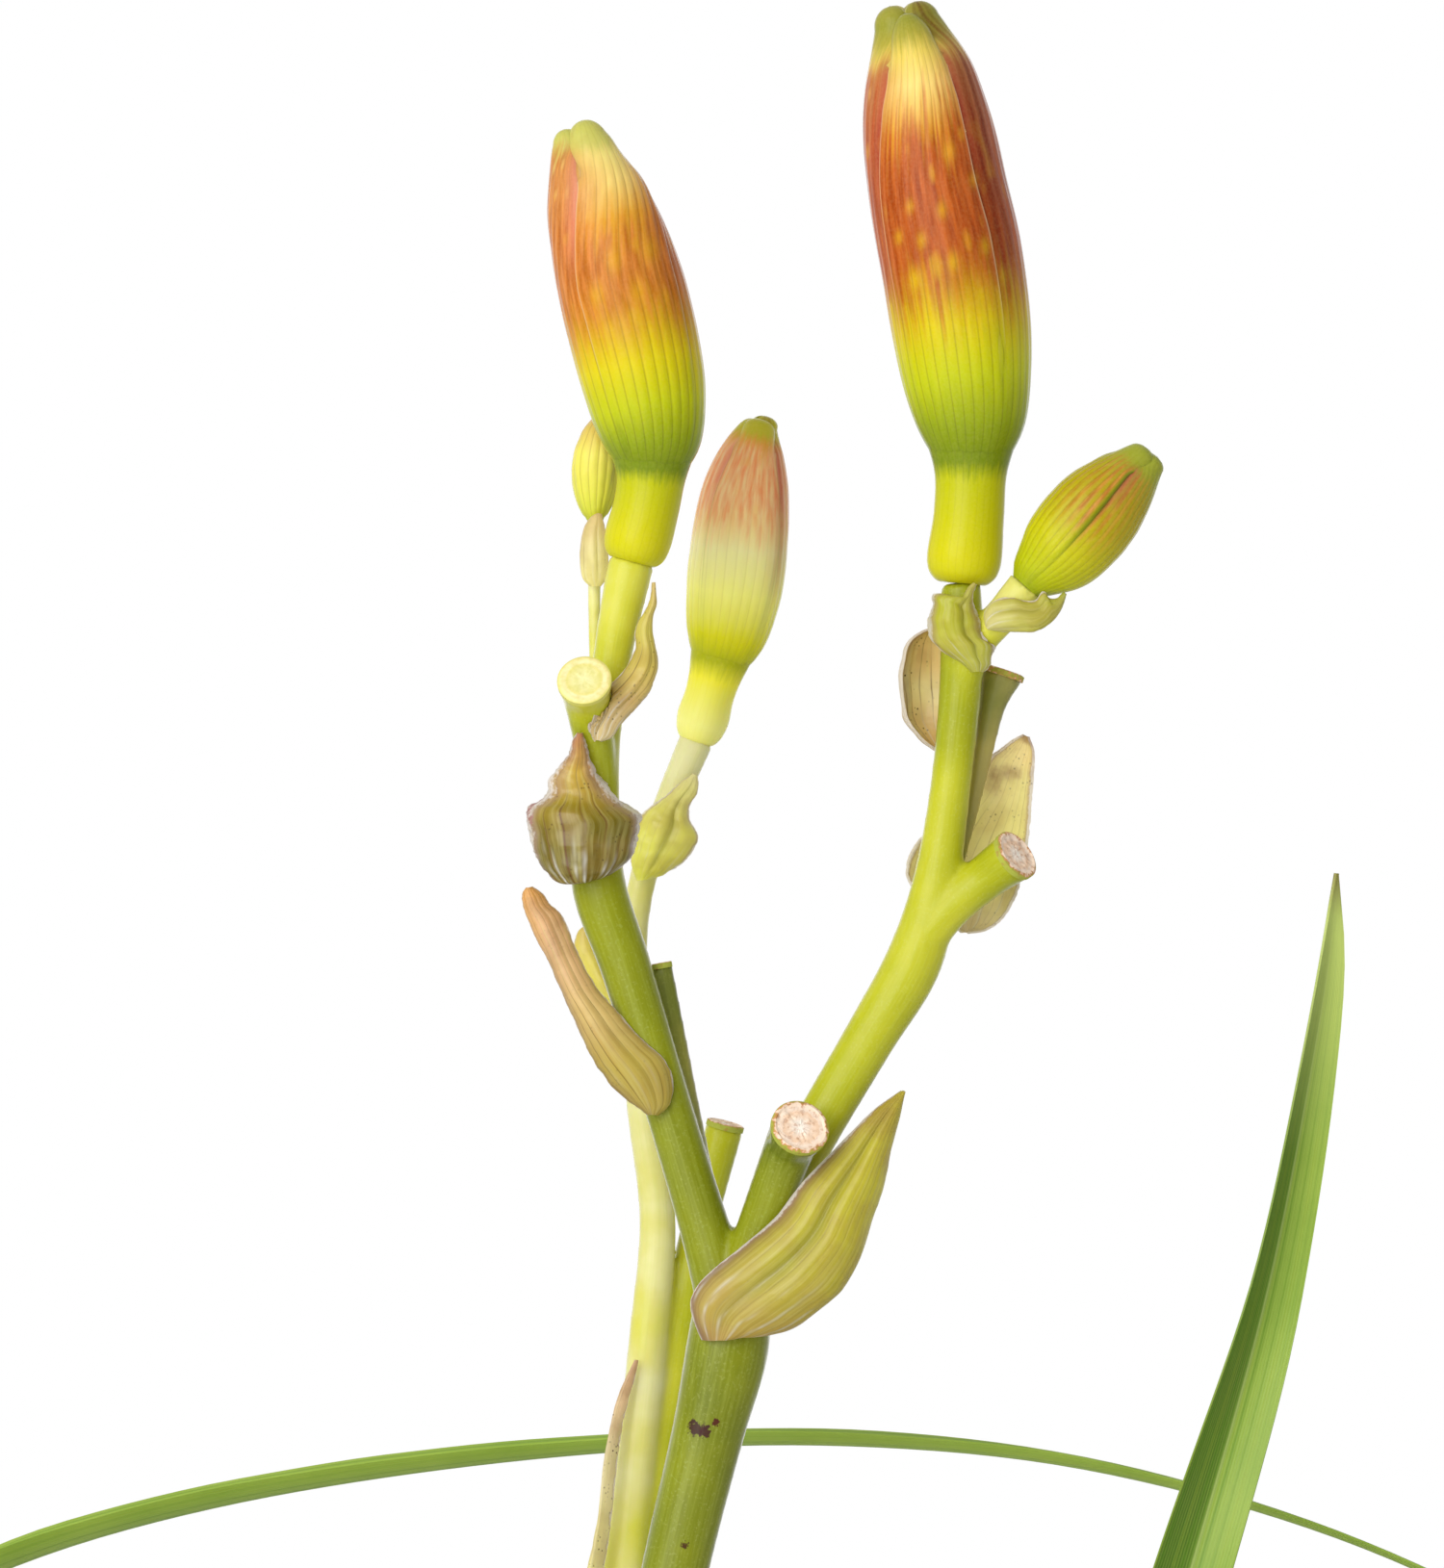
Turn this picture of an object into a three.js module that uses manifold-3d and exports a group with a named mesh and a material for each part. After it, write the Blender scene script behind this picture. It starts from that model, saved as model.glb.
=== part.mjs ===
// A daylily plant (Hemerocallis) in bud, growing in a plain clay pot.
//
// Units are millimetres, +Z is up, and the origin is the centre of the pot's flat underside.
// Three fans of keeled leaves stand in the soil. Two of them carry a scape (a flower stem), and each
// scape forks, bears closed buds on short pedicels, and has papery bracts at its nodes.

import * as THREE from "three";
import { mergeVertices } from "three/addons/utils/BufferGeometryUtils.js";
import Module from "manifold-3d";

const wasm = await Module();
wasm.setup();

// ---------------------------------------------------------------- driving dimensions

const GAP = 0.3; // clearance between two pieces that touch

const POT = {
  height: 165,
  baseRadius: 68,
  topRadius: 99,
  rimHeight: 30,
  rimProud: 6,
  wall: 7,
  floor: 9,
  drainHoles: 4,
  drainRadius: 6,
  drainCircle: 38,
  sides: 36,
};

const SOIL = { top: 150, dome: 2, bumps: 1, rings: 5, play: 1.2 };

const CROWN = { bottom: 124, top: 146.5, halfLength: 26, halfWidth: 12.5, sides: 14, root: 5 };

const LEAF = {
  thickness: 0.9,
  steps: 14,
  folds: [46, 38, 30, 25, 20], // degrees that each half is folded up, from base to tip
  base: 6.5, // half width in the fan
  point: 0.5, // half width at the tip
  keelStep: 2.5, // how far each next leaf stands outside the last, in its fan
};

const BRACT = { thickness: 0.7, steps: 7, clearance: 0.5 };

const BUD = {
  seat: 0.4, // clearance of a bud's tube on its stem
  sepals: 3, // outer petals
  // Across one sepal, from seam to seam: [degrees from the first seam, how far out, 1 is the radius].
  // The seam itself, at 0 degrees, is a groove whose depth is a share of the radius.
  across: [[10, 0.985], [32, 1.01], [60, 1.025], [88, 1.01], [110, 0.985]],
  seam: 0.13,
};

// The fans: where each stands, and how far its innermost leaf is from its centre.
const FANS = {
  front: { centre: [-8, -12], firstKeel: 9.2 },
  rear: { centre: [11, 27], firstKeel: 8.2 },
  left: { centre: [-33, 54], firstKeel: 5.6 },
};

// ---------------------------------------------------------------- colours

const LOOKS = {
  clay: { color: "#b5683f", roughness: 0.85 },
  soil: { color: "#3a2a1e", roughness: 1.0 },
  crown: { color: "#b9b583", roughness: 0.8 },
  leaf: { color: "#6f9c30", roughness: 0.5 },
  scape: { color: "#93a428", roughness: 0.45 },
  bud: { color: "#b9c41c", roughness: 0.4 },
  bract: { color: "#b8b060", roughness: 0.7 },
};

const material = (look) => new THREE.MeshStandardMaterial({ ...LOOKS[look], metalness: 0 });

// ---------------------------------------------------------------- closed meshes and solids

const vector = (xyz) => new THREE.Vector3(...xyz);
const radians = THREE.MathUtils.degToRad;

/** A list of numbers read at t from 0 to 1, with straight runs between them. */
function profile(values, t) {
  const place = THREE.MathUtils.clamp(t, 0, 1) * (values.length - 1);
  const low = Math.min(Math.floor(place), values.length - 2);
  return THREE.MathUtils.lerp(values[low], values[low + 1], place - low);
}

/** Six times the volume that a triangle list encloses: its sign says which way the faces point. */
function enclosed(points, triangles) {
  let sum = 0;
  const cross = new THREE.Vector3();
  for (const [a, b, c] of triangles) {
    sum += points[a].dot(cross.crossVectors(points[b], points[c]));
  }
  return sum;
}

/** One closed body from points and triangles, turned so that its faces point out. */
function closedBody(points, triangles) {
  const inward = enclosed(points, triangles) < 0;
  const order = triangles.flatMap(([a, b, c]) => (inward ? [a, c, b] : [a, b, c]));
  const geometry = new THREE.BufferGeometry();
  const flat = points.flatMap((p) => [p.x, p.y, p.z]);
  geometry.setAttribute("position", new THREE.Float32BufferAttribute(flat, 3));
  geometry.setIndex(order);
  return geometry;
}

/** A body skinned over rings of equal count, closed at both ends by a point in the middle. */
function skinned(rings) {
  const count = rings[0].length;
  const points = rings.flat();
  const triangles = [];
  for (let i = 0; i + 1 < rings.length; i += 1) {
    for (let j = 0; j < count; j += 1) {
      const a = i * count + j;
      const b = i * count + ((j + 1) % count);
      triangles.push([a, b, b + count], [a, b + count, a + count]);
    }
  }
  const middle = (ring) => ring.reduce((sum, p) => sum.add(p), new THREE.Vector3()).divideScalar(count);
  const first = points.push(middle(rings[0])) - 1;
  const last = points.push(middle(rings.at(-1))) - 1;
  const end = (rings.length - 1) * count;
  for (let j = 0; j < count; j += 1) {
    const next = (j + 1) % count;
    triangles.push([first, next, j], [last, end + j, end + next]);
  }
  return closedBody(points, triangles);
}

function solidOf(geometry) {
  let bare = geometry.clone();
  bare.deleteAttribute("normal");
  bare.deleteAttribute("uv");
  bare = mergeVertices(bare, 1e-4);
  return new wasm.Manifold(
    new wasm.Mesh({
      numProp: 3,
      vertProperties: new Float32Array(bare.attributes.position.array),
      triVerts: new Uint32Array(bare.index.array),
    }),
  );
}

function geometryOf(solid) {
  const mesh = solid.getMesh();
  const geometry = new THREE.BufferGeometry();
  geometry.setAttribute("position", new THREE.BufferAttribute(mesh.vertProperties, 3));
  geometry.setIndex(new THREE.BufferAttribute(mesh.triVerts, 1));
  return geometry;
}

const fuse = (geometries) => geometries.map(solidOf).reduce((whole, next) => whole.add(next));

/** The largest of the bodies that a cut leaves, so that no loose scrap stays. */
function largest(solid) {
  return solid.decompose().sort((a, b) => b.volume() - a.volume())[0];
}

// ---------------------------------------------------------------- sweeps

/** Places and frames along a smooth line through points: tangent, side and normal at each place. */
function framesAlong(points, steps, side) {
  const curve = new THREE.CatmullRomCurve3(points.map(vector), false, "centripetal");
  const frames = [];
  let across = side.clone();
  for (let i = 0; i <= steps; i += 1) {
    const t = i / steps;
    const tangent = curve.getTangent(t).normalize();
    across = across.clone().addScaledVector(tangent, -across.dot(tangent)).normalize();
    const normal = new THREE.Vector3().crossVectors(tangent, across).normalize();
    frames.push({ t, at: curve.getPoint(t), tangent, across, normal });
  }
  return frames;
}

/** A round stem along a smooth line. Its radius is given at the line's own points. */
function stem(points, radii, steps, sides) {
  const frames = framesAlong(points, steps, new THREE.Vector3(0, 1, 0));
  const rings = frames.map(({ t, at, across, normal }) => {
    const radius = profile(radii, t);
    return Array.from({ length: sides }, (_, j) => {
      const angle = (2 * Math.PI * j) / sides;
      return at
        .clone()
        .addScaledVector(across, radius * Math.cos(angle))
        .addScaledVector(normal, radius * Math.sin(angle));
    });
  });
  return skinned(rings);
}

/** The direction square to an open outline at each of its points, lengthened where it bends. */
function mitres(outline) {
  const direction = (a, b) => new THREE.Vector2().subVectors(b, a).normalize();
  return outline.map((point, k) => {
    const before = k > 0 ? direction(outline[k - 1], point) : direction(point, outline[1]);
    const after = k + 1 < outline.length ? direction(point, outline[k + 1]) : before;
    const along = before.clone().add(after).normalize();
    const stretch = 1 / Math.max(0.6, along.dot(before));
    return new THREE.Vector2(-along.y, along.x).multiplyScalar(stretch);
  });
}

/**
 * A thin blade: an open section, drawn at every frame, thickened by the same amount to both sides.
 * Both faces are split into triangles along the same diagonals, so they never cross.
 */
function blade(frames, sectionAt, thickness) {
  const faces = [[], []];
  for (const frame of frames) {
    const outline = sectionAt(frame.t);
    const normals = mitres(outline);
    [-0.5, 0.5].forEach((half, face) => {
      faces[face].push(
        outline.map((p, k) => {
          const q = p.clone().addScaledVector(normals[k], half * thickness);
          return frame.at.clone().addScaledVector(frame.across, q.x).addScaledVector(frame.normal, q.y);
        }),
      );
    });
  }
  const rows = frames.length;
  const columns = faces[0][0].length;
  const points = [...faces[0].flat(), ...faces[1].flat()];
  const index = (face, i, k) => face * rows * columns + i * columns + k;
  const triangles = [];
  for (let i = 0; i + 1 < rows; i += 1) {
    for (let k = 0; k + 1 < columns; k += 1) {
      const [a, b, c, d] = [index(0, i, k), index(0, i, k + 1), index(0, i + 1, k + 1), index(0, i + 1, k)];
      triangles.push([a, b, c], [a, c, d]);
      const shift = rows * columns;
      triangles.push([a + shift, c + shift, b + shift], [a + shift, d + shift, c + shift]);
    }
  }
  const wall = (a, b) => {
    const shift = rows * columns;
    triangles.push([a, b + shift, b], [a, a + shift, b + shift]);
  };
  for (let k = 0; k + 1 < columns; k += 1) {
    wall(index(0, 0, k), index(0, 0, k + 1));
    wall(index(0, rows - 1, k + 1), index(0, rows - 1, k));
  }
  for (let i = 0; i + 1 < rows; i += 1) {
    wall(index(0, i + 1, 0), index(0, i, 0));
    wall(index(0, i, columns - 1), index(0, i + 1, columns - 1));
  }
  return closedBody(points, triangles);
}

// ---------------------------------------------------------------- pot, soil and crowns

function innerRadius(z) {
  const slope = (POT.topRadius - POT.baseRadius) / POT.height;
  return POT.baseRadius + slope * z - POT.wall;
}

function potGeometry() {
  const { height, baseRadius, topRadius, rimHeight, rimProud, floor, sides } = POT;
  const rimFoot = height - rimHeight;
  const wallAt = (z) => innerRadius(z) + POT.wall;
  const outline = [
    [0, 0],
    [baseRadius - 2, 0],
    [baseRadius, 2],
    [wallAt(rimFoot), rimFoot],
    [wallAt(rimFoot) + rimProud, rimFoot + 3],
    [topRadius + rimProud, height - 3],
    [topRadius + rimProud - 3, height],
    [innerRadius(height) + 2, height],
    [innerRadius(height), height - 3],
    [innerRadius(floor), floor],
    [0, floor],
  ].map(([x, y]) => new THREE.Vector2(x, y));
  const shell = new THREE.LatheGeometry(outline, sides).rotateX(Math.PI / 2);
  let pot = solidOf(shell);
  for (let k = 0; k < POT.drainHoles; k += 1) {
    const angle = ((k + 0.5) * 2 * Math.PI) / POT.drainHoles;
    const drill = new THREE.CylinderGeometry(POT.drainRadius, POT.drainRadius, floor * 3, 14);
    drill.rotateX(Math.PI / 2);
    drill.translate(POT.drainCircle * Math.cos(angle), POT.drainCircle * Math.sin(angle), 0);
    pot = pot.subtract(solidOf(drill));
  }
  return geometryOf(pot);
}

/** An upright elliptic plug over a fan's place. */
function plug(fan, bottom, top, margin) {
  const ellipse = new THREE.Shape();
  ellipse.absellipse(...fan.centre, CROWN.halfLength - margin, CROWN.halfWidth - margin, 0, 2 * Math.PI);
  const settings = { depth: top - bottom, bevelEnabled: false, curveSegments: CROWN.sides };
  return new THREE.ExtrudeGeometry(ellipse, settings).translate(0, 0, bottom);
}

/** Height of the lumpy soil surface, a low dome with small hollows. */
function soilHeight(x, y) {
  const edge = innerRadius(SOIL.top);
  const far = Math.hypot(x, y) / edge;
  const lumps = Math.sin(x / 7 + 1) * Math.cos(y / 6) + Math.sin((x + 2 * y) / 11);
  return SOIL.top + SOIL.dome * (1 - far * far) + SOIL.bumps * lumps * (1 - far ** 4);
}

function soilGeometry() {
  const bottom = POT.floor + GAP;
  const ring = (radius, z) =>
    Array.from({ length: POT.sides }, (_, j) => {
      const angle = (2 * Math.PI * (j + 0.5)) / POT.sides;
      const x = radius * Math.cos(angle);
      const y = radius * Math.sin(angle);
      return new THREE.Vector3(x, y, z ?? soilHeight(x, y));
    });
  const rings = [ring(innerRadius(bottom) - SOIL.play, bottom), ring(innerRadius(SOIL.top) - SOIL.play)];
  for (let k = SOIL.rings; k > 0; k -= 1) {
    rings.push(ring((innerRadius(SOIL.top) * (k - 0.35)) / (SOIL.rings + 0.5)));
  }
  let soil = solidOf(skinned(rings));
  for (const fan of Object.values(FANS)) {
    soil = soil.subtract(solidOf(plug(fan, CROWN.bottom, SOIL.top + 20, 0)));
  }
  return geometryOf(soil);
}

const crownGeometry = (fan) => plug(fan, CROWN.bottom + GAP, CROWN.top, GAP);

/** What stands on a crown is cut level, just clear of the crown's top. */
function aboveCrown(solid) {
  const depth = 60;
  const below = new THREE.BoxGeometry(300, 300, depth).translate(0, 0, CROWN.top + GAP - depth / 2);
  return solid.subtract(solidOf(below));
}

// ---------------------------------------------------------------- leaves

/** A keeled section: two slightly bowed halves folded up from the keel. */
function keeledSection(halfWidth, fold) {
  const bow = 0.06 * halfWidth;
  return [-1, -0.5, 0, 0.5, 1].map((s) => {
    const reach = Math.abs(s) * halfWidth;
    const lift = bow * Math.sin(Math.abs(s) * Math.PI);
    const x = Math.sign(s) * (reach * Math.cos(fold) + lift * Math.sin(fold));
    return new THREE.Vector2(x, reach * Math.sin(fold) - lift * Math.cos(fold));
  });
}

/** Half of a leaf's width along its length: narrow in the fan, broad in the middle, drawn to a point. */
function leafHalfWidth(t, widest) {
  const body = THREE.MathUtils.lerp(LEAF.base, widest, THREE.MathUtils.smoothstep(t, 0, 0.35));
  const taper = Math.sqrt(1 - Math.pow(t, 3.2)) * THREE.MathUtils.lerp(1, 0.72, t);
  return Math.max(LEAF.point, body * taper);
}

function leafGeometry(spine, { side, halfWidth, fold = LEAF.folds, twist = [0, 0], steps = LEAF.steps }) {
  const frames = framesAlong(spine, steps, side);
  for (const frame of frames) {
    const angle = radians(profile(twist, frame.t));
    frame.across = frame.across.clone().applyAxisAngle(frame.tangent, angle);
    frame.normal = frame.normal.clone().applyAxisAngle(frame.tangent, angle);
  }
  const section = (t) => keeledSection(halfWidth(t), radians(profile(fold, t)));
  return geometryOf(largest(aboveCrown(solidOf(blade(frames, section, LEAF.thickness)))));
}

/**
 * The arching line of a leaf that leaves its fan at one side. It starts `lean` degrees off upright,
 * ends `end` degrees off upright, and swings round by `turn` degrees as it goes.
 */
function archingSpine({ fan, way, rank, length, lean, end, turn, power = 1.8 }) {
  const { centre, firstKeel } = FANS[fan];
  const keel = firstKeel + LEAF.keelStep * rank;
  const at = new THREE.Vector3(centre[0] + way * keel, centre[1], CROWN.top);
  at.z -= CROWN.root;
  const spine = [at.toArray()];
  const pieces = 12;
  for (let i = 0; i < pieces; i += 1) {
    const t = (i + 0.5) / pieces;
    const off = radians(lean + (end - lean) * Math.pow(t, power));
    const heading = radians((way > 0 ? 0 : 180) + turn * THREE.MathUtils.smoothstep(t, 0, 0.4));
    const step = length / pieces;
    at.x += step * Math.sin(off) * Math.cos(heading);
    at.y += step * Math.sin(off) * Math.sin(heading);
    at.z += step * Math.cos(off);
    spine.push(at.toArray());
  }
  return spine;
}

// Each leaf: its fan, the side it leaves on (+1 is right), and its rank from the inside out.
const LEAVES = [
  { fan: "front", way: 1, rank: 0, length: 385, lean: 13, end: 118, turn: -62, widest: 7.5 },
  { fan: "front", way: 1, rank: 1, length: 425, lean: 16, end: 138, turn: -38, widest: 8.5 },
  { fan: "front", way: 1, rank: 2, length: 340, lean: 21, end: 156, turn: -14, widest: 8 },
  { fan: "front", way: -1, rank: 0, length: 400, lean: 6, end: 122, turn: 66, widest: 7.5 },
  { fan: "front", way: -1, rank: 1, length: 435, lean: 10, end: 142, turn: 40, widest: 8.5 },
  { fan: "front", way: -1, rank: 2, length: 350, lean: 18, end: 158, turn: 14, widest: 8 },
  { fan: "rear", way: 1, rank: 2, length: 370, lean: 22, end: 148, turn: 12, widest: 8.5 },
  { fan: "rear", way: -1, rank: 0, length: 375, lean: 5, end: 112, turn: 4, widest: 7 },
  { fan: "rear", way: -1, rank: 1, length: 380, lean: 15, end: 150, turn: -3, widest: 8 },
  { fan: "left", way: 1, rank: 1, length: 375, lean: 13, end: 136, turn: 66, widest: 8 },
  { fan: "left", way: 1, rank: 2, length: 310, lean: 22, end: 154, turn: 40, widest: 7.5 },
  { fan: "left", way: -1, rank: 0, length: 380, lean: 9, end: 118, turn: -70, widest: 7 },
  { fan: "left", way: -1, rank: 1, length: 405, lean: 11, end: 142, turn: -44, widest: 8.5 },
  { fan: "left", way: -1, rank: 2, length: 340, lean: 20, end: 158, turn: -14, widest: 8 },
];
const SWAY = 14; // degrees that a leaf turns about its own line, halfway along

// The tall leaf on the right stays nearly upright, and turns its inner face round to the front as it
// rises. The longest leaf rises on the left and arches over to the right behind both scapes.
// Each station is [x, y, z, half width, fold, twist].
const LONE_LEAVES = {
  leaf_upright: [
    [19.2, 27, CROWN.top - CROWN.root, 6.3, 46, 0],
    [44, 29, 205, 7, 42, 18],
    [76.5, 33, 300, 7, 36, 50],
    [101, 36.5, 372, 6.6, 32, 78],
    [113.7, 38, 414, 5.9, 30, 92],
    [123.8, 38, 451.5, 5.1, 30, 122],
    [129.4, 38, 480, 3.9, 30, 128],
    [132, 38, 496, 2.5, 28, 130],
    [133.2, 38, 507, LEAF.point, 25, 130],
  ],
  leaf_arching: [
    [-27.4, 54, CROWN.top - CROWN.root, 5.8, 46, 0],
    [-30.5, 54.5, 200, 6.4, 42, 0],
    [-46, 57, 262, 7, 38, 0],
    [-72, 61, 316, 7.2, 35, 0],
    [-86, 63.5, 350, 7, 34, 0],
    [-85, 65, 379, 6.8, 33, 0],
    [-71, 65, 399, 6.5, 32, 0],
    [-48.7, 65, 410.9, 6.2, 31, 0],
    [-19, 65, 419.8, 5.7, 30, 0],
    [28, 65, 426.8, 4.8, 28, 0],
    [68, 65, 428.3, 4, 26, 0],
    [104, 65, 424.4, 3.4, 20, 0],
    [144.6, 65, 411.9, 2.6, 10, 0],
    [180, 64, 391.4, 1.6, 8, 0],
    [203, 63, 367.5, LEAF.point, 8, 0],
  ],
};

function leafMeshes() {
  const name = ({ fan, way, rank }) => `leaf_${fan}_${way > 0 ? "right" : "left"}_${rank + 1}`;
  const meshes = LEAVES.map((leaf, index) => {
    const sway = SWAY * Math.sin(2.4 * index + 1);
    const side = new THREE.Vector3(0, leaf.way, 0);
    const halfWidth = (t) => leafHalfWidth(t, leaf.widest);
    const shape = { side, halfWidth, twist: [0, 0, sway, 2 * sway] };
    return piece(name(leaf), leafGeometry(archingSpine(leaf), shape), "leaf");
  });
  for (const [lone, stations] of Object.entries(LONE_LEAVES)) {
    const column = (k) => stations.map((station) => station[k]);
    const shape = {
      side: new THREE.Vector3(0, 1, 0),
      halfWidth: (t) => profile(column(3), t),
      fold: column(4),
      twist: column(5),
      steps: 2 * (stations.length - 1),
    };
    const spine = stations.map(([x, y, z]) => [x, y, z]);
    meshes.push(piece(lone, leafGeometry(spine, shape), "leaf"));
  }
  return meshes;
}

// ---------------------------------------------------------------- scapes

// Each branch is a smooth line with its radius at each point: [x, y, z, radius].
const FRONT_SCAPE = {
  main: [
    [-9.5, -12, CROWN.top - CROWN.root, 5.3],
    [-3, -11, 180, 5.2],
    [14, -7, 265, 4.7],
    [31, -3, 350, 4.4],
    [39.5, -1, 392, 4.3],
    [44.5, 0, 417, 4.35],
    [48.9, 0, 435.3, 4.7],
    [51.4, 0, 446.3, 5.35],
    [52.1, 0, 453, 4.8],
  ],
  left: [
    [51.8, 0, 449, 4],
    [48.6, 0, 460.5, 3.3],
    [44.6, 0, 473.8, 3.05],
    [38.1, 0, 495.3, 3.3],
    [34.5, 0, 506.3, 3.5],
    [34.5, 0, 515.6, 2.8],
    [35.3, 0, 526, 2.2],
    [36.5, 0, 536.3, 2.5],
    [38.4, 0, 545.9, 2.9],
    [38.9, 0, 548, 2.9],
  ],
  leftStub: [
    [34.6, -0.5, 519.5, 2.3],
    [34, -2.5, 524.5, 2.6],
    [33.2, -6, 530.2, 3.1],
    [32.9, -9.5, 532.2, 3.45],
  ],
  leftStrip: [
    [50.6, 1.5, 458, 1.2],
    [47.6, 2.8, 470, 1.5],
    [44.8, 3.4, 484, 1.5],
    [42.7, 3.6, 495.3, 1.4],
  ],
  smallPedicel: [
    [34.6, 1.2, 518, 1],
    [34.1, 4.2, 531, 0.8],
    [33.9, 6, 543, 0.9],
    [34, 6.8, 553.8, 1.1],
  ],
  forkStub: [
    [53, -1, 453.5, 3.2],
    [56.2, -3, 463.5, 3],
    [59.3, -6, 472, 3.3],
    [60.7, -9.5, 475, 3.6],
  ],
  right: [
    [52.3, 0, 449, 4],
    [55.2, 0, 458.5, 3.5],
    [60.5, 0, 470, 3.25],
    [69.5, 0, 485.6, 3.35],
    [75.5, 0, 496, 3.7],
    [78.3, 0, 506, 3],
    [80.5, 0, 520.6, 2.6],
    [81.8, 0, 536, 2.8],
    [81.6, 0, 545, 2.6],
  ],
  rightStub: [
    [75.6, -0.5, 497.5, 3],
    [80, -1, 503.2, 2.8],
    [84.5, -1.8, 507, 3],
    [88.5, -2.8, 509.9, 3.45],
  ],
  driedStub: [
    [78.6, 1.5, 504, 1.8],
    [82.6, 3.4, 514, 2],
    [84.9, 4.2, 524, 2],
    [87, 4.6, 533.5, 2.4],
  ],
  sidePedicel: [
    [81.7, -0.5, 531, 2],
    [83.6, -2, 537, 2.2],
    [87, -3.2, 541, 2.3],
    [90, -3.6, 544.6, 2.5],
  ],
};
const REAR_SCAPE = {
  main: [
    [11, 27, CROWN.top - CROWN.root, 4.6],
    [14, 27, 190, 4.5],
    [21, 28, 270, 4.2],
    [30, 29.5, 345, 4],
    [35.8, 30, 395, 3.9],
    [37.6, 30, 414.6, 2.9],
    [40.8, 30, 445.2, 2.6],
    [42, 30, 461, 2.4],
    [40.2, 30, 476, 2.3],
    [38.7, 30, 492, 1.9],
    [39.6, 30, 504.4, 1.8],
    [42.9, 30, 514.6, 2],
    [47.2, 30, 524.9, 2.3],
  ],
  stub: [
    [36.6, 30.5, 398, 2.8],
    [40.2, 32, 418, 2.7],
    [44.7, 33, 445, 2.6],
    [47.8, 33, 461, 2.4],
    [51, 32, 473.3, 2.5],
  ],
};

/** One branch, or the room that it needs: thicker, and longer at its end, by a clearance. */
function branch(points, grow = 0) {
  const places = points.map(([x, y, z]) => [x, y, z]);
  const [before, end] = places.slice(-2).map(vector);
  places[places.length - 1] = end.addScaledVector(end.clone().sub(before).normalize(), grow).toArray();
  const radii = points.map(([, , , radius]) => radius + grow);
  const sides = Math.max(...radii) > 4 ? 10 : 8;
  const steps = Math.round((points.length - 1) * 1.5);
  return stem(places, radii, steps, sides);
}

const scapeSolid = (branches, grow = 0) => fuse(Object.values(branches).map((b) => branch(b, grow)));

// ---------------------------------------------------------------- buds

/** One sepal's own blunt tip, standing beside the bud's axis. */
function sepalTip({ at, tangent, across, normal }, angle, radius, rise) {
  const out = across.clone().multiplyScalar(Math.cos(angle)).addScaledVector(normal, Math.sin(angle));
  const place = (beside, along) =>
    at.clone().addScaledVector(out, beside * radius).addScaledVector(tangent, along).toArray();
  const line = [place(0.3, -2 * rise), place(0.42, 0), place(0.4, rise)];
  return stem(line, [0.6 * radius, 0.58 * radius, 0.26 * radius], 3, 8);
}

/** Around a bud: every [angle, share of the radius], with a groove at each seam between sepals. */
function aroundBud(facing, seam) {
  const width = 360 / BUD.sepals;
  const round = [];
  for (let k = 0; k < BUD.sepals; k += 1) {
    const start = facing + width * (k + 0.5);
    round.push([radians(start), 1 - seam]);
    round.push(...BUD.across.map(([degrees, share]) => [radians(start + degrees), share]));
  }
  return round;
}

/**
 * A closed bud. Its outer sepals meet at three seams, which run from the tube to the top, and each
 * sepal ends in a small blunt tip of its own. The first sepal looks `facing` degrees round from +X,
 * so -90 is straight to the front. The bud is cut to sit on the stem that carries it.
 */
function budGeometry({ spine, tipRise, facing = -90 }, stems) {
  const places = spine.map(([x, y, z]) => [x, y, z]);
  const radii = spine.map(([, , , radius]) => radius);
  const frames = framesAlong(places, spine.length - 1, new THREE.Vector3(1, 0, 0));
  const ring = ({ t, at, across, normal }) => {
    const opened = THREE.MathUtils.smoothstep(t, 0.2, 0.42);
    return aroundBud(facing, BUD.seam).map(([angle, share]) => {
      const radius = profile(radii, t) * THREE.MathUtils.lerp(1, share, opened);
      return at
        .clone()
        .addScaledVector(across, radius * Math.cos(angle))
        .addScaledVector(normal, radius * Math.sin(angle));
    });
  };
  const parts = [skinned(frames.map(ring))];
  for (let k = 0; k < BUD.sepals && tipRise > 0; k += 1) {
    const angle = radians(facing) + (2 * Math.PI * k) / BUD.sepals;
    parts.push(sepalTip(frames.at(-1), angle, radii.at(-1), tipRise));
  }
  return geometryOf(largest(fuse(parts).subtract(stems)));
}

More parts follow.
